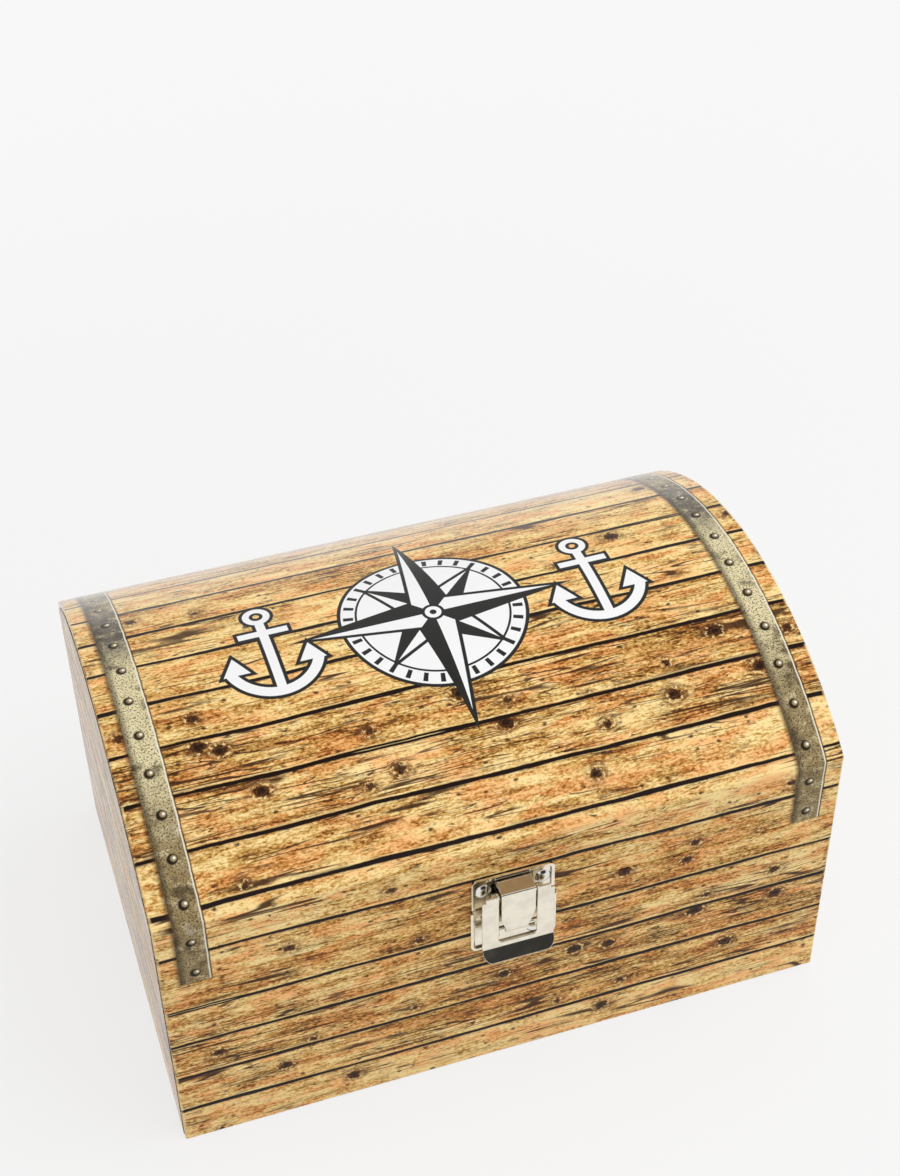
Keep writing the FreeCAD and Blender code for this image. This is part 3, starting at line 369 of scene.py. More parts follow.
def plank_group(settings):
    """Printed planks: tone, streaks, knots, splits and dark seams."""
    graph, given = new_group(
        "plank_print", ("Along", "Across", "Plank", "First Seam", "Seam", "Knotty", "Seed"), {"Color": "Color"})
    along, across, plank, seed = (given[label] for label in ("Along", "Across", "Plank", "Seed"))
    flat = graph.vector(along, across, seed)

    # Planks with slightly wandering seams, each with its own tone and its own stretch of wood.
    bent = swayed(across - given["First Seam"], graph.noise(flat, scale=14, detail=1), SEAM_WANDER)
    rows = bent / plank
    row = math.floor(rows)
    tone = graph.chance(graph.vector(row, seed, 1.5))
    shift = graph.chance(graph.vector(row, seed, 7.5))
    start = shift * 3.0 + along

    # Knots, most of them on knotty planks; the grain bends round them.
    spots = graph.cells(graph.vector(start / KNOT_CELL, rows, seed), 0.9)
    spot = graph.values("ShaderNodeSeparateXYZ", {0: spots["Position"]})
    pick = graph.values("ShaderNodeSeparateColor", {0: spots["Color"]})
    knot_x = (start / KNOT_CELL - spot["X"]) * KNOT_CELL
    knot_y = (rows - spot["Y"]) * plank
    ragged = graph.noise(flat, scale=650, detail=3)
    apart = swayed(graph.math("SQRT", knot_x * knot_x * 0.6 + knot_y * knot_y), ragged, 3.4 * MM)
    knotty = abs(rows - given["Knotty"]).smooth(0.8, 1.3, 0.70, 0.10)
    here = pick["Red"] + knotty > KNOT_LIMIT
    outside = apart - pick["Green"].smooth(0.0, 1.0, *KNOT_RADII)
    knot = outside.fade(-0.5 * MM, 0.25 * MM) * here
    halo = outside.fade(0.0, 3.2 * MM) * here
    fibre = across + halo * knot_y * -0.55

    def streaks(run, width, detail=3.0, level=0.0):
        """Noise drawn out along the grain."""
        place = graph.vector(start * run, fibre * width, row + level)
        return graph.noise(place, detail=detail, roughness=0.6, distortion=0.4)

    # Soft tones of the wood, then its speckle.
    value = swayed(0.62, tone, 0.14)
    for run, width, weight in WOOD_STREAKS:
        value = swayed(value, streaks(run, width), weight)
    wood = graph.ramp(value + halo * -0.10, (0.14, settings.wood_dark), (0.34, settings.wood_brown),
                      (0.52, settings.wood_gold), (0.80, settings.wood_pale))
    redder = streaks(42, 130, level=20.0).smooth(0.42, 0.64, 0.0, 0.8)
    wood = graph.mix(redder, wood, settings.wood_red, blend="MULTIPLY")

    # Long dark lines of the grain, which come and go, and short splits.
    for run, width, rings, reach, strength, level in GRAIN_LINES:
        ring = (streaks(run, width, 2.0, level) * rings).fraction()
        line = abs(ring - 0.5).fade(0.3 * reach, reach)
        where = knotty * 0.14 + streaks(3 * run, 60, 2.0, level + 5)
        wood = graph.mix(line * where.smooth(0.53, 0.63, 0.0, strength), wood, settings.wood_dark)

    # Stains, brown clouds about the knots, the knots with a lighter ring and a pale gleam beside them,
    # and small specks.
    stain = streaks(55, 190, 4.0, 90.0).smooth(0.63, 0.72, 0.0, 0.7)
    cloud = swayed(outside, streaks(90, 160, 4.0, 70.0), 13 * MM)
    burl = cloud.fade(0.3 * MM, 3.8 * MM, 0.85) * here
    burl = burl * streaks(330, 700, 3.0, 75.0).smooth(0.38, 0.60, 0.25, 1.0)
    gleam = abs(outside - 1.1 * MM).fade(0.2 * MM, 0.9 * MM, 0.75) * here
    ring = abs(outside + 0.9 * MM).fade(0.1 * MM, 0.35 * MM, 0.7) * here
    specks = graph.cells(graph.vector(start / SPECK_CELL[0], fibre / SPECK_CELL[1]), 1.0)
    chosen = graph.value("ShaderNodeSeparateColor", {0: specks["Color"]}) > SPECK_LIMIT
    speck = swayed(specks["Distance"], ragged, 0.16).fade(0.04, 0.12, 0.9) * chosen
    wood = graph.paint(wood, (stain, settings.wood_brown), (burl, settings.wood_umber),
                       (gleam * ragged.smooth(0.50, 0.60), settings.wood_pale),
                       (knot * 0.95, settings.seam_ink), (ring, settings.wood_umber), (speck, settings.wood_dark))

    # Seams that swell and part, with a pale line above and a shade below.
    rough = graph.noise(graph.vector(along * 90, across * 260, seed), detail=3)
    edge = swayed(((rows + 0.5).fraction() - 0.5) * plank, rough, 0.9 * MM)
    shade = edge.smooth(-2.4 * MM, 0.0, 0.0, 0.40) * (edge < 0.0)
    lit = abs(edge - 1.3 * MM).fade(0.15 * MM, 0.55 * MM, 0.5)
    swell = graph.noise(graph.vector(along * 11, round(rows), seed), detail=2)
    half = given["Seam"] * swell.smooth(0.3, 0.7, 0.36, 0.74)
    line = (abs(edge) - half).fade(-0.25 * MM, 0.2 * MM)
    parted = abs(edge).fade(0.08 * MM, 0.3 * MM, 0.8) * swell.smooth(0.60, 0.66)
    wood = graph.paint(wood, (shade, settings.wood_dark), (lit, settings.wood_pale), (line, settings.seam_ink),
                       (parted, settings.wood_pale))
    graph.node("NodeGroupOutput", {"Color": wood})
    return graph.tree


def strap_group(settings):
    """Printed metal straps with round-headed rivets, over the planks."""
    graph, given = new_group(
        "strap_print", ("Along", "Across", "Place", "Width", "Pitch", "First Rivet"),
        {"Color": "Color", "Mask": "Float", "Shade": "Float"})
    along, across = given["Along"], given["Across"]
    side = graph.math("SIGN", along) * given["Place"]
    ragged = graph.noise(graph.vector(along, across), scale=160, detail=3)
    place = swayed(along - side, ragged, 0.7 * MM) / (given["Width"] * 0.5)

    # Bronze at the rims, a worn pale stretch over the front of the dome and a grey one behind it.
    metal = graph.paint(settings.strap_bronze, *(
        (across.smooth(low * MM, high * MM), getattr(settings, tone)) for low, high, tone in STRAP_TONES))

    # Mottle, dents and pits, a dull left edge, and a bright right edge with a dark line.
    mottle = graph.noise(graph.vector(along, across, 2.0), scale=210, detail=6, roughness=0.72)
    worn = graph.noise(graph.vector(along, across, 8.0), scale=75, detail=4, roughness=0.65)
    speckle = graph.noise(graph.vector(along, across, 5.0), scale=1300, detail=3, roughness=0.7)
    glint = place.smooth(0.82, 0.88) * place.fade(0.92, 0.97)
    metal = graph.paint(
        metal,
        (mottle.smooth(0.45, 0.28, 0.0, 0.85), settings.strap_dark),
        (mottle.smooth(0.50, 0.66, 0.0, 0.7), settings.strap_pale),
        (worn.smooth(0.48, 0.34, 0.0, 0.75), settings.strap_dark),
        (worn.smooth(0.56, 0.68, 0.0, 0.35), settings.strap_glint),
        (speckle.smooth(0.51, 0.59, 0.0, 0.90), settings.strap_dark),
        (place.fade(-1.0, -0.45, 0.75), settings.strap_dark),
        (glint * 0.9, settings.strap_glint),
        (place.smooth(0.94, 1.0), settings.seam_ink))

    # Rivets: a dark ring, a rounded head and a highlight to the right.
    steps = (across - given["First Rivet"]) / given["Pitch"] + 0.5
    sway = graph.chance(graph.vector(math.floor(steps), side, 9.5))
    rise = (steps.fraction() - 0.5) * given["Pitch"]
    reach = swayed(along - side, sway, 1.2 * MM)

    def apart(x, y):
        """Distance from a point beside the middle of a rivet."""
        return graph.length(reach - x, rise - y)

    frayed = swayed(apart(-0.3 * MM, -0.2 * MM), speckle, 1.2 * MM)
    metal = graph.paint(
        metal,
        (frayed.fade(1.9 * MM, 2.6 * MM, 0.97), settings.seam_ink),
        (apart(0.3 * MM, 0.1 * MM).fade(1.0 * MM, 1.6 * MM), settings.strap_bronze),
        (apart(0.6 * MM, 0.2 * MM).fade(0.3 * MM, 0.9 * MM), RIVET_HIGHLIGHT))

    left_shade = place.smooth(-1.35, -1.0) * (place < 0.0)
    right_line = place.fade(1.0, 1.1) * (place > 0.0)
    mask = abs(place).fade(0.98, 1.02)
    graph.node("NodeGroupOutput", {"Color": metal, "Mask": mask, "Shade": graph.most(left_shade, right_line)})
    return graph.tree


def emblem_group(settings):
    """Compass rose with a ticked ring between two anchors; white and black with black outlines."""
    graph, given = new_group("emblem_print", ("Along", "Across"), {"Color": "Color", "Mask": "Float"})
    x, y = given["Along"], given["Across"] - settings.middle
    soft = 0.12 * MM

    def inside(distance, grow=0.0):
        """1 where the distance is under that growth, 0 outside."""
        return distance.fade(grow - soft, grow + soft)

    def about(value, middle, half):
        """Distance outside a band."""
        return abs(value - middle) - half

    def star(a, b, point):
        """Distance outside a star of four points along the axes, and its white halves."""
        flat_a, flat_b = abs(a), abs(b)
        side = point - settings.valley
        slant = math.hypot(settings.valley, side)
        distance = ((graph.most(flat_a, flat_b) - point) * (settings.valley / slant)
                    + graph.least(flat_a, flat_b) * (side / slant))
        return distance, a * b * (flat_a - flat_b) > 0.0

    # White where print is white, and a mask of all the print: disc with ticks and a line, two stars and a hub.
    out = graph.length(x, y)
    disc = out - settings.ring
    mask = inside(disc, settings.outline)
    turns = graph.math("ARCTAN2", y, x) * (settings.ticks / (2 * math.pi))
    tick = about((turns + 10.5).fraction(), 0.5, 0.14).fade(-0.02, 0.02)
    tick = tick * inside(about(disc, -3.2 * MM, 2.2 * MM))
    white = inside(disc) * (1.0 - graph.most(tick, inside(about(disc, -6.6 * MM, 0.5 * MM))))
    half = math.sqrt(0.5)
    for a, b, point in (((x + y) * half, (y - x) * half, settings.short_point), (x, y, settings.long_point)):
        distance, lit = star(a, b, point)
        around = inside(distance, settings.outline)
        white = graph.most(white * (1.0 - around), inside(distance) * lit)
        mask = graph.most(mask, around)
    hub = inside(out - 5 * MM)
    eye = graph.most(out - 3.6 * MM, 1.5 * MM - out)
    white = graph.most(white * (1.0 - hub), inside(eye))

    # Anchors, the same on both sides: shank, stock, ring, arms and flukes.
    side = abs(x) - settings.anchor_place
    anchor = graph.least(
        graph.most(about(side, 0.0, 2.0 * MM), about(y, -3.5 * MM, 22 * MM)),
        graph.most(about(side, 0.0, 11 * MM), about(y, 11 * MM, 1.8 * MM)),
        about(graph.length(side, y - 23.5 * MM), 4.5 * MM, 1.5 * MM),
        graph.most(about(graph.length(side, y + 4 * MM), 20 * MM, 2.3 * MM), y + 10 * MM),
        graph.most(about(abs(side), 16.5 * MM, 0.0) * 0.86 + (y * 0.5 + 0.5 * MM), -11 * MM - y))
    white = graph.most(white, inside(anchor))
    mask = graph.most(mask, hub, inside(anchor, settings.outline))
    graph.node("NodeGroupOutput", {"Color": graph.mix(white, settings.ink, settings.white), "Mask": mask})
    return graph.tree


def shared(name, make, *given):
    """The node group of that name, made once."""
    return bpy.data.node_groups.get(name) or make(*given)


def new_material(name):
    """Material with a Principled shader and its graph."""
    material = bpy.data.materials.new(name)
    material.use_nodes = True
    return material, Graph(material.node_tree), material.node_tree.nodes["Principled BSDF"]


def laminate(graph, shader, colour, gloss):
    """Gloss film over print, with the faint waves of paper on board."""
    place = graph.place()
    waves = graph.noise(place, scale=38, detail=2, roughness=0.45)
    smudge = graph.noise(place, scale=30, detail=3)
    facing = graph.value("ShaderNodeLayerWeight", {"Blend": 0.5}, "Facing")
    graph.fill(shader, {
        "Base Color": colour, "Normal": graph.bump(waves, 0.35, 0.25 * MM), "Specular IOR Level": 0.1,
        "Roughness": smudge.smooth(0.3, 0.7, 0.26, 0.38), "Coat Roughness": 0.12,
        "Coat Weight": facing.smooth(0.45, 0.80, 0.05, gloss)})


def print_material(name, settings, body, knotty, seed, wrap=True, emblem=None):
    """Plank print under a gloss film, paler in a broken band along the folds of a wrap, with straps and the emblem
    on the lid.
    """
    material, graph, shader = new_material(name)
    uv = graph.value("ShaderNodeUVMap", uv_map="sheet")
    axes = graph.values("ShaderNodeSeparateXYZ", {0: uv})
    flat = {"Along": axes["X"], "Across": axes["Y"]}
    planks = {**flat, "Plank": getattr(settings, f"{body}_plank"), "Seam": settings.seam, "Knotty": knotty,
              "First Seam": getattr(settings, f"{body}_first_seam"), "Seed": seed}
    colour = graph.value("ShaderNodeGroup", planks, node_tree=shared("plank_print", plank_group, settings))
    if emblem:
        straps = {**flat, "Place": settings.strap_place, "Width": settings.strap_width,
                  "Pitch": settings.rivet_pitch, "First Rivet": settings.first_rivet}
        strap = graph.values("ShaderNodeGroup", straps, node_tree=shared("strap_print", strap_group, settings))
        picture = graph.values("ShaderNodeGroup", flat, node_tree=shared("emblem_print", emblem_group, emblem))
        colour = graph.paint(colour, (strap["Shade"] * 0.75, settings.wood_dark), (strap["Mask"], strap["Color"]),
                             (picture["Mask"], picture["Color"]))
    if wrap:
        # Pale wood colour in a broken band along each fold of a wrap.
        patchy = graph.noise(uv, scale=170, detail=3).smooth(0.46, 0.58)
        fold_band = abs(abs(axes["X"]) - FOLD).fade(0.3 * MM, 1.2 * MM, 0.65)
        colour = graph.mix(fold_band * patchy, colour, settings.wood_pale)
    laminate(graph, shader, colour, WRAP_GLOSS if wrap else END_GLOSS)
    return material


def lining_material():
    """Plain uncoated paper."""
    material, graph, shader = new_material("lining_paper")
    place = graph.place()
    fibre = graph.noise(place, scale=900, detail=4, roughness=0.7)
    cloud = graph.noise(place, scale=25, detail=2)
    colour = graph.paint((0.74, 0.70, 0.61), (fibre.smooth(0.3, 0.7), (0.84, 0.80, 0.72)),
                         (cloud.smooth(0.4, 0.75, 0.0, 0.25), (0.70, 0.64, 0.53)))
    graph.fill(shader, {"Base Color": colour, "Roughness": fibre.smooth(0.2, 0.8, 0.75, 0.9),
                        "Normal": graph.bump(fibre, 0.2, 0.05 * MM)})
    return material


def board_material():
    """Grey recycled board."""
    material, graph, shader = new_material("greyboard")
    fleck = graph.noise(graph.place(), scale=1400, detail=3, roughness=0.7)
    colour = graph.ramp(fleck, (0.3, (0.24, 0.225, 0.20)), (0.55, (0.36, 0.345, 0.315)), (0.75, (0.50, 0.48, 0.45)))
    graph.fill(shader, {"Base Color": colour, "Roughness": fleck.smooth(0.2, 0.8, 0.8, 0.95)})
    return material


def nickel_material(settings):
    """Bright nickel plate with fine polishing lines and faint smears."""
    material, graph, shader = new_material("nickel_plate")
    place = graph.place()
    smear = graph.noise(place, scale=140, detail=4, roughness=0.6)
    drawn = graph.value("ShaderNodeMapping", {"Vector": place, "Scale": (350, 350, 6000)})
    tint = graph.mix(smear.smooth(0.35, 0.75, 0.0, 0.5), settings.nickel, settings.smear)
    rounded = graph.value("ShaderNodeBevel", {"Radius": settings.edge}, samples=6)
    graph.fill(shader, {"Base Color": tint, "Metallic": 1, "Roughness": smear.smooth(0.3, 0.8, 0.08, 0.20),
                        "Normal": graph.bump(graph.noise(drawn), 0.05, 0.02 * MM, Normal=rounded)})
    return material


# Meshes

def linked(name, data):
    """New object of the scene."""
    thing = bpy.data.objects.new(name, data)
    bpy.context.scene.collection.objects.link(thing)
    return thing


def dress(node, material):
    """Give a CAD node its finish."""
    mesh = frame["nodes"][node].data
    mesh.materials.clear()
    mesh.materials.append(material)


def new_piece(name, body, node, vertices, faces, places, material):
    """Printed sheet with a map of its flat places, thickened inwards, in place of a CAD node."""
    mesh = bpy.data.meshes.new(name)
    mesh.from_pydata(vertices, [], faces)
    layer = mesh.uv_layers.new(name="sheet")
    for loop in mesh.loops:
        layer.data[loop.index].uv = places[loop.vertex_index]
    mesh.polygons.foreach_set("use_smooth", [True] * len(mesh.polygons))
    mesh.materials.append(material)
    piece = linked(name, mesh)
    solidify = piece.modifiers.new("paper", "SOLIDIFY")
    solidify.thickness = PAPER
    solidify.offset = -1
    solidify.use_even_offset = True
    piece.modifiers.new("normals", "WEIGHTED_NORMAL")
    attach(piece, body)
    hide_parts(node)


def grid_faces(rows, columns, keep=lambda row, column: True):
    """Quads of a grid of rows and columns of vertices, where keep says so."""
    return [(row * columns + column, row * columns + column + 1,
             (row + 1) * columns + column + 1, (row + 1) * columns + column)
            for row in range(rows - 1) for column in range(columns - 1) if keep(row, column)]


def arc(centre, radius, start, stop, steps):
    """Points along an arc, ends included."""
    angles = [start + (stop - start) * step / steps for step in range(steps + 1)]
    return [(centre[0] + radius * math.cos(angle), centre[1] + radius * math.sin(angle)) for angle in angles]


def lengths_along(points):
    """Distance from the first point to each point, along the line."""
    found = [0.0]
    for first, second in zip(points, points[1:]):
        found.append(found[-1] + math.dist(first, second))
    return found


def mirrored(points):
    """The points seen in the middle plane, in reverse order."""
    return [(-y, z) for y, z in reversed(points)]


def turned_half(vertices):
    """The vertices turned half round about the upright axis."""
    return [(-x, -y, z) for x, y, z in vertices]


def lid_outline(inset):
    """Outline of the lid from its front rim over the dome to the back rim, inset from the outside."""
    corner = (-(FRONT - EDGE_RADIUS), LID_RIM + EDGE_RADIUS)
    rim = [(-TURN_Y, LID_RIM + min(inset, EDGE_RADIUS))]
    rim += arc(corner, max(EDGE_RADIUS - inset, 0), -math.pi / 2, -math.pi, CORNER_STEPS)
    if inset < CREASE_RADIUS:
        centre = (-CREASE_CENTRE_Y, CREASE_CENTRE_Z)
        crease = arc(centre, CREASE_RADIUS - inset, math.pi, math.pi / 2 + DOME_HALF_ANGLE, CREASE_STEPS)
        half = DOME_HALF_ANGLE
    else:
        deep, radius = FRONT - inset, DOME_RADIUS - inset
        height = math.sqrt(radius ** 2 - deep ** 2)
        crease = [(-deep, DOME_CENTRE + height)] * (CREASE_STEPS + 1)
        half = math.atan2(deep, height)
        rim[-1] = (-deep, LID_RIM + EDGE_RADIUS)
    dome = arc((0, DOME_CENTRE), DOME_RADIUS - inset, math.pi / 2 + half, math.pi / 2 - half, DOME_STEPS)
    return rim + crease + dome[1:-1] + mirrored(crease) + mirrored(rim)


def base_outline(inset):
    """Outline of the front wrap of the base from inside the rim, down the front and under."""
    shrunk, sunk = max(EDGE_RADIUS - inset, 0), min(inset, EDGE_RADIUS)
    top = (-(FRONT - EDGE_RADIUS), BASE_RIM - EDGE_RADIUS)
    foot = (-(FRONT - EDGE_RADIUS), BASE_FOOT + EDGE_RADIUS)
    down = [(-TURN_Y, BASE_RIM - sunk)] + arc(top, shrunk, math.pi / 2, math.pi, CORNER_STEPS)
    under = arc(foot, shrunk, math.pi, math.pi * 1.5, CORNER_STEPS) + [(-(FRONT - UNDER_FLAP), BASE_FOOT + sunk)]
    if inset > EDGE_RADIUS:
        down[-1] = (-(FRONT - inset), BASE_RIM - EDGE_RADIUS)
        under[0] = (-(FRONT - inset), BASE_FOOT + EDGE_RADIUS)
    return down + under


def wrap_columns():
    """Columns of a wrap from flap to flap: (x, inset) pairs round both ends."""
    in_crease = CREASE_RADIUS * 0.96
    bend = [(-FLAP_X + EDGE_RADIUS * (1 - math.cos(angle)), EDGE_RADIUS * (1 - math.sin(angle)))
            for angle in [math.pi / 2 * step / CORNER_STEPS for step in range(CORNER_STEPS + 1)]]
    left = [(-FLAP_X, END_FLAP), (-FLAP_X, in_crease)] + bend
    inner = FLAP_X - EDGE_RADIUS
    middle = [(-inner + 2 * inner * step / ACROSS_STEPS, 0.0) for step in range(1, ACROSS_STEPS)]
    return left + middle + [(-x, inset) for x, inset in reversed(left)]


def turned_strip(vertices, faces, places, y, low, high, v):
    """Paper turned to the inside of a rim, added to a wrap."""
    start = len(vertices)
    corners = [(-BETWEEN_ENDS, y, low), (BETWEEN_ENDS, y, low), (BETWEEN_ENDS, y, high), (-BETWEEN_ENDS, y, high)]
    vertices.extend(corners)
    places.extend((x, v + (z - low)) for x, _, z in corners)
    ring = tuple(range(start, start + 4))
    faces.append(ring if y > 0 else ring[::-1])


def wrap_mesh(outline, first_length, side_rows):
    """Vertices, faces and flat places of a wrap; side_rows are the rows that have flaps on the ends."""
    columns = wrap_columns()
    outlines = {inset: outline(inset) for x, inset in columns}
    heights = [length - first_length for length in lengths_along(outline(0))]
    widths = lengths_along(columns)
    vertices, places = [], []
    for row, height in enumerate(heights):
        for (x, inset), width in zip(columns, widths):
            vertices.append((x, *outlines[inset][row]))
            places.append((width - widths[-1] / 2, height))
    last = len(columns) - 1

    def keep(row, column):
        flap = column < 2 or column > last - 3
        return not flap or side_rows[0] <= row < side_rows[1]

    return vertices, grid_faces(len(heights), len(columns), keep), places


def end_papers(body, vertices, faces, places, material):
    """Papers on the right end of a body and, turned half round, on its left end."""
    for side, shape in (("right", vertices), ("left", turned_half(vertices))):
        new_piece(f"{body}_{side}_end_cover", body, f"{body}_{side}_paper", shape, faces, places, material)


def rivet_shape(head, height, length, settings):
    """One rivet about the Y axis: domed head in front of its seat at 0, shank, and rolled tail at its length."""
    dome_height = height - settings.head_rim
    radius = (head ** 2 + dome_height ** 2) / (2 * dome_height)
    half = math.asin(head / radius)
    dome = arc((0, radius - height), radius, -math.pi / 2, half - math.pi / 2, 10)
    shank, tail, bead = settings.shank / 2, settings.tail / 2, settings.tail_height
    roll = arc((tail - bead, length - bead), bead, 0, math.pi, 8)
    profile = [(0, -height)] + dome[1:] + [(head, 0), (shank, 0), (shank, length - bead)]
    profile += roll + [(tail - 2 * bead, length - bead), (0, length - bead)]
    work = bmesh.new()
    spots = [work.verts.new((across, along, 0)) for across, along in profile]
    edges = [work.edges.new(pair) for pair in zip(spots, spots[1:])]
    bmesh.ops.spin(work, geom=spots + edges, cent=(0, 0, 0), axis=(0, 1, 0), dvec=(0, 0, 0), angle=2 * math.pi,
                   steps=40, use_merge=True)
    bmesh.ops.remove_doubles(work, verts=work.verts, dist=1e-7)
    bmesh.ops.recalc_face_normals(work, faces=work.faces)
    mesh = bpy.data.meshes.new("rivet")
    work.to_mesh(mesh)
    work.free()
    mesh.polygons.foreach_set("use_smooth", [True] * len(mesh.polygons))
    mesh.set_sharp_from_angle(angle=math.radians(40))
    return linked("rivet", mesh)


def rivet_tree():
    """Geometry nodes that set a rivet on each point."""
    tree = bpy.data.node_groups.new("rivet_rows", "GeometryNodeTree")
    for label, kind in (("Points", "Geometry"), ("Rivet", "Object"), ("Turn", "Float"), ("Finish", "Material")):
        tree.interface.new_socket(label, in_out="INPUT", socket_type=f"NodeSocket{kind}")
    tree.interface.new_socket("Rivets", in_out="OUTPUT", socket_type="NodeSocketGeometry")
    graph = Graph(tree)
    given = graph.values("NodeGroupInput")
    shape = graph.value("GeometryNodeObjectInfo", {"Object": given["Rivet"]}, "Geometry")
    turn = graph.value("FunctionNodeEulerToRotation", {0: graph.vector(0.0, 0.0, given["Turn"])})
    rows = graph.value("GeometryNodeInstanceOnPoints",
                       {"Points": given["Points"], "Instance": shape, "Rotation": turn})
    real = graph.value("GeometryNodeRealizeInstances", {"Geometry": rows})
    finish = graph.value("GeometryNodeSetMaterial", {"Geometry": real, "Material": given["Finish"]})
    graph.node("NodeGroupOutput", {"Rivets": finish})
    return tree


def rivet_rows(name, node, body, columns, head, height, turn, finish, settings):
    """Rivets in place of a CAD node of rivets, at the columns on both sides of the middle."""
    low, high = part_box(node)
    seat = high.y - height if turn else low.y + height
    middle = (low.z + high.z) / 2
    mesh = bpy.data.meshes.new(name)
    mesh.from_pydata([(sign * x, seat, middle) for x in columns for sign in (-1, 1)], [], [])
    piece = linked(name, mesh)
    rivet = rivet_shape(head, height, high.y - low.y - height, settings)
    tree = shared("rivet_rows", rivet_tree)
    modifier = piece.modifiers.new("rivets", "NODES")
    modifier.node_group = tree
    given = {"Rivet": rivet, "Turn": turn, "Finish": finish}
    for socket in tree.interface.items_tree:
        if socket.name in given:
            modifier[socket.identifier] = given[socket.name]
    built = bpy.data.meshes.new_from_object(piece.evaluated_get(bpy.context.evaluated_depsgraph_get()))
    piece.modifiers.remove(modifier)
    piece.data = built
    bpy.data.objects.remove(rivet)
    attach(piece, body)
    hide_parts(node)


class CHEST_OT_lid_paper(bpy.types.Operator):
    """Printed wrap over the lid and papers on its ends"""
    bl_idname = "chest.lid_paper"
    bl_label = "Lid paper"

    def execute(self, context):
        settings = context.scene.chest_print
        outline = lid_outline(0)
        lengths = lengths_along(outline)
        first = lengths[RIM_ROWS] - EDGE_RADIUS
        vertices, faces, places = wrap_mesh(lid_outline, first, (RIM_ROWS, len(outline) - 1 - RIM_ROWS))
        for y, v in ((-TURN_Y, -TURN_IN), (TURN_Y, lengths[-1] - first)):
            turned_strip(vertices, faces, places, y, LID_RIM, LID_RIM + TURN_IN, v)
        material = print_material("lid_print", settings, "lid", 3.0, 3.0, emblem=context.scene.chest_emblem)
        new_piece("lid_cover", "lid", "lid_wrap", vertices, faces, places, material)

        half, radius = FRONT - END_MARGIN, DOME_RADIUS - END_MARGIN
        hook = [(TURN_X, LID_RIM + TURN_IN), (TURN_X, LID_RIM)]
        hook += arc((END - EDGE_RADIUS, LID_RIM + EDGE_RADIUS), EDGE_RADIUS, -math.pi / 2, 0, CORNER_STEPS)
        lengths = lengths_along(hook)
        columns = [-half + 2 * half * step / DOME_STEPS for step in range(DOME_STEPS + 1)]
        vertices = [(x, y, z) for x, z in hook for y in columns]
        places = [(y, length - lengths[-1] + EDGE_RADIUS) for length in lengths for y in columns]
        start = LID_RIM + EDGE_RADIUS
        for step in range(1, ACROSS_STEPS + 1):
            for y in columns:
                top = DOME_CENTRE + math.sqrt(radius ** 2 - y ** 2)
                z = start + (top - start) * step / ACROSS_STEPS
                vertices.append((END, y, z))
                places.append((y, z - LID_RIM))
        faces = grid_faces(len(hook) + ACROSS_STEPS, len(columns))
        end_papers("lid", vertices, faces, places,
                   print_material("lid_end_print", settings, "lid", 1.0, 11.0, wrap=False))
        return {"FINISHED"}


class CHEST_OT_base_paper(bpy.types.Operator):
    """Printed wraps on the front and back of the base and papers on its ends"""
    bl_idname = "chest.base_paper"
    bl_label = "Base paper"

    def execute(self, context):
        settings = context.scene.chest_print
        vertices, faces, places = wrap_mesh(base_outline, 0, (RIM_ROWS, RIM_ROWS + 1))
        length = lengths_along(base_outline(0))[-2 - CORNER_STEPS]
        places = [(u, length - v) for u, v in places]
        turned_strip(vertices, faces, places, -TURN_Y, BASE_RIM - TURN_IN, BASE_RIM, 0)
        faces = [face[::-1] for face in faces]
        for name, shape, seed in (("front", vertices, 21.0), ("back", turned_half(vertices), 34.0)):
            material = print_material(f"base_{name}_print", settings, "base", 1.5, seed)
            new_piece(f"base_{name}_cover", "base", f"base_{name}_wrap", shape, faces, places, material)

        half, inner = FRONT - END_MARGIN, FRONT - UNDER_FLAP - GLUE
        profile = [(TURN_X, BASE_RIM - TURN_IN), (TURN_X, BASE_RIM)]
        profile += arc((END - EDGE_RADIUS, BASE_RIM - EDGE_RADIUS), EDGE_RADIUS, math.pi / 2, 0, CORNER_STEPS)
        profile += arc((END - EDGE_RADIUS, BASE_FOOT + EDGE_RADIUS), EDGE_RADIUS, 0, -math.pi / 2, CORNER_STEPS)
        profile += [(END - UNDER_FLAP, BASE_FOOT)]
        lengths = lengths_along(profile)
        columns = [-half, -inner, -inner / 2, 0.0, inner / 2, inner, half]
        vertices = [(x, y, z) for x, z in profile for y in columns]
        places = [(y, lengths[-2] - length) for length in lengths for y in columns]
        last = len(profile) - 2
        faces = grid_faces(len(profile), len(columns),
                           lambda row, column: row < last or 0 < column < len(columns) - 2)
        end_papers("base", vertices, [face[::-1] for face in faces], places,
                   print_material("base_end_print", settings, "base", 2.0, 47.0, wrap=False))
        return {"FINISHED"}


class CHEST_OT_linings(bpy.types.Operator):
    """Plain paper inside and underneath, and the boards"""
    bl_idname = "chest.linings"
    bl_label = "Linings and boards"

    def execute(self, context):
        paper = lining_material()
        for node in ("base_lining", "lid_lining", "base_bottom_paper"):
            dress(node, paper)
        board = board_material()
        for node in frame["nodes"]:
            if node.endswith("_board"):
                dress(node, board)
        return {"FINISHED"}


class CHEST_OT_metal(bpy.types.Operator):
    """Nickel plate on the latch and the hinges"""
    bl_idname = "chest.metal"
    bl_label = "Latch and hinges"

    def execute(self, context):
        nickel = nickel_material(context.scene.chest_metal)
        for entry in frame["record"]["subparts"]:
            if entry["material_slot"] == "nickel_plate":
                dress(entry["node"], nickel)
        return {"FINISHED"}


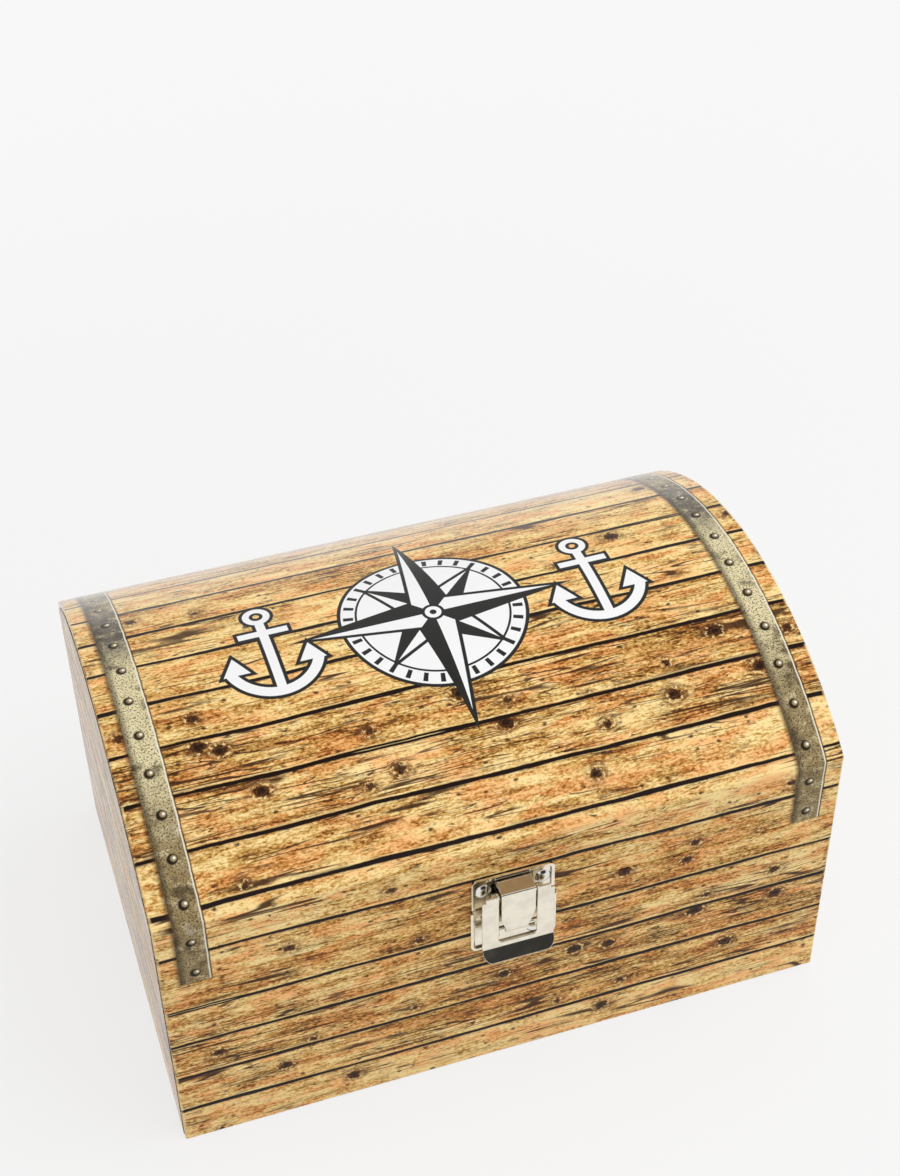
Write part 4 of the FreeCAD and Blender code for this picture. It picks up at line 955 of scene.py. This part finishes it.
class CHEST_OT_rivets(bpy.types.Operator):
    """Domed rivets of the latch and the hinges"""
    bl_idname = "chest.rivets"
    bl_label = "Rivets"

    def execute(self, context):
        settings = context.scene.chest_metal
        nickel = bpy.data.materials["nickel_plate"]
        latch, hinge = settings.latch_head / 2, settings.hinge_head / 2
        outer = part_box("hinge_lid_rivets")[1].x - settings.tail / 2
        pair = (outer - settings.hinge_pitch, outer)
        for name, node, body in (("strike_rivet_heads", "strike_rivets", "lid"),
                                 ("plate_rivet_heads", "latch_plate_rivets", "base")):
            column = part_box(node)[1].x - latch
            rivet_rows(name, node, body, (column,), latch, settings.latch_dome, 0.0, nickel, settings)
        for name, node, body in (("hinge_lid_rivet_heads", "hinge_lid_rivets", "lid"),
                                 ("hinge_base_rivet_heads", "hinge_base_rivets", "base")):
            rivet_rows(name, node, body, pair, hinge, settings.hinge_dome, math.pi, nickel, settings)
        return {"FINISHED"}


class CHEST_OT_stage(bpy.types.Operator):
    """Pale floor, soft light and camera"""
    bl_idname = "chest.stage"
    bl_label = "Stage"

    def execute(self, context):
        settings = context.scene.chest_stage
        self.add_floor(settings)
        self.add_world(context)
        for lamp in LAMPS:
            self.add_lamp(*lamp)
        self.add_camera(context, settings)
        context.scene.view_settings.view_transform = "Standard"
        return {"FINISHED"}

    def seen(self, graph, path):
        """1 for rays that show the background: straight, mirrored or through glass."""
        return graph.most(path["Is Camera Ray"], path["Is Glossy Ray"], path["Is Transmission Ray"])

    def add_floor(self, settings):
        """Floor that holds the shadow near the chest and fades into the background."""
        mesh = bpy.data.meshes.new("floor")
        corners = [(x * FLOOR_REACH, y * FLOOR_REACH, 0) for x, y in ((-1, -1), (1, -1), (1, 1), (-1, 1))]
        mesh.from_pydata(corners, [], [(0, 1, 2, 3)])
        material, graph, shader = new_material("floor")
        graph.fill(shader, {"Base Color": settings.floor, "Roughness": 0.9})
        glow = graph.value("ShaderNodeEmission", {"Color": FLOOR_GLOW, "Strength": 1.0})
        apart = graph.value("ShaderNodeVectorMath", {0: graph.place()}, "Value", operation="LENGTH")
        seen = self.seen(graph, graph.values("ShaderNodeLightPath"))
        share = seen * apart.smooth(*SHADOW_REACH, 0.80, 1.0)
        blend = graph.value("ShaderNodeMixShader", {0: share, 1: shader.outputs[0], 2: glow})
        graph.fill(material.node_tree.nodes["Material Output"], {"Surface": blend})
        mesh.materials.append(material)
        floor = linked("floor", mesh)

    def add_world(self, context):
        """Even light, with dark and bright cards that only mirrors see."""
        world = bpy.data.worlds.new("studio")
        world.use_nodes = True
        context.scene.world = world
        graph = Graph(world.node_tree)
        path = graph.values("ShaderNodeLightPath")
        ray = graph.place("Generated")

        def card(direction, edge, full, level):
            """Patch of the sky about a direction, for mirrored rays."""
            inputs = {0: ray, 1: Vector(direction).normalized()}
            toward = graph.value("ShaderNodeVectorMath", inputs, "Value", operation="DOT_PRODUCT")
            return toward.smooth(edge, full, 0.0, level) * path["Is Glossy Ray"]

        overhead = card((0, 0, 1), 0.80, 0.93, 1.0)
        dark = graph.most(card((0.22, -0.95, 0.20), 0.86, 0.95, 0.96), overhead * 0.62)
        bright = card((0.1, 0.95, 0.3), 0.45, 0.95, 0.35)
        strength = self.seen(graph, path) * (SHOWN_LEVEL - LIGHT_LEVEL) + LIGHT_LEVEL
        graph.fill(world.node_tree.nodes["Background"], {"Color": graph.mix(overhead, BACKGROUND, WARM_CARD),
                                                         "Strength": strength * (bright + 1.0 - dark)})

    def add_lamp(self, name, place, side, power):
        lamp = bpy.data.lights.new(name, "AREA")
        lamp.size = side
        lamp.energy = power
        holder = linked(name, lamp)
        holder.location = place
        aim = Vector((0, 0, 0.1)) - Vector(place)
        holder.rotation_euler = aim.to_track_quat("-Z", "Y").to_euler()
        holder.visible_glossy = False

    def add_camera(self, context, settings):
        data = bpy.data.cameras.new("camera")
        data.sensor_fit = "VERTICAL"
        data.sensor_height = 36
        data.lens = settings.lens
        data.clip_start = 0.01
        camera = linked("camera", data)
        turned = (Matrix.Rotation(settings.turn, 4, "Z") @ Matrix.Rotation(math.pi / 2 - settings.height, 4, "X")
                  @ Matrix.Rotation(settings.roll, 4, "Z"))
        away = Matrix.Translation((0, 0, settings.distance))
        camera.matrix_world = Matrix.Translation(settings.aim) @ turned @ away
        context.scene.camera = camera


class CHEST_PT_panel(bpy.types.Panel):
    """Pieces of the chest"""
    bl_idname = "CHEST_PT_panel"
    bl_label = "Treasure chest"
    bl_space_type = "VIEW_3D"
    bl_region_type = "UI"
    bl_category = "Chest"

    def draw(self, context):
        for operator in OPERATORS:
            self.layout.operator(operator.bl_idname)
        for group_name in GROUPS:
            group = getattr(context.scene, group_name)
            for name in group.bl_rna.properties.keys():
                if name not in ("rna_type", "name"):
                    self.layout.prop(group, name)


OPERATORS = (CHEST_OT_lid_paper, CHEST_OT_base_paper, CHEST_OT_linings, CHEST_OT_metal, CHEST_OT_rivets,
             CHEST_OT_stage)
GROUPS = {"chest_print": ChestPrint, "chest_emblem": ChestEmblem, "chest_metal": ChestMetal,
          "chest_stage": ChestStage}


def register():
    for item in (*GROUPS.values(), *OPERATORS, CHEST_PT_panel):
        bpy.utils.register_class(item)
    for name, group in GROUPS.items():
        setattr(bpy.types.Scene, name, PointerProperty(type=group))


def unregister():
    for name in GROUPS:
        delattr(bpy.types.Scene, name)
    for item in (CHEST_PT_panel, *reversed(OPERATORS), *reversed(GROUPS.values())):
        bpy.utils.unregister_class(item)


def main():
    register()
    bpy.ops.chest.lid_paper()
    bpy.ops.chest.base_paper()
    bpy.ops.chest.linings()
    bpy.ops.chest.metal()
    bpy.ops.chest.rivets()
    bpy.ops.chest.stage()


if __name__ == "__main__":
    main()
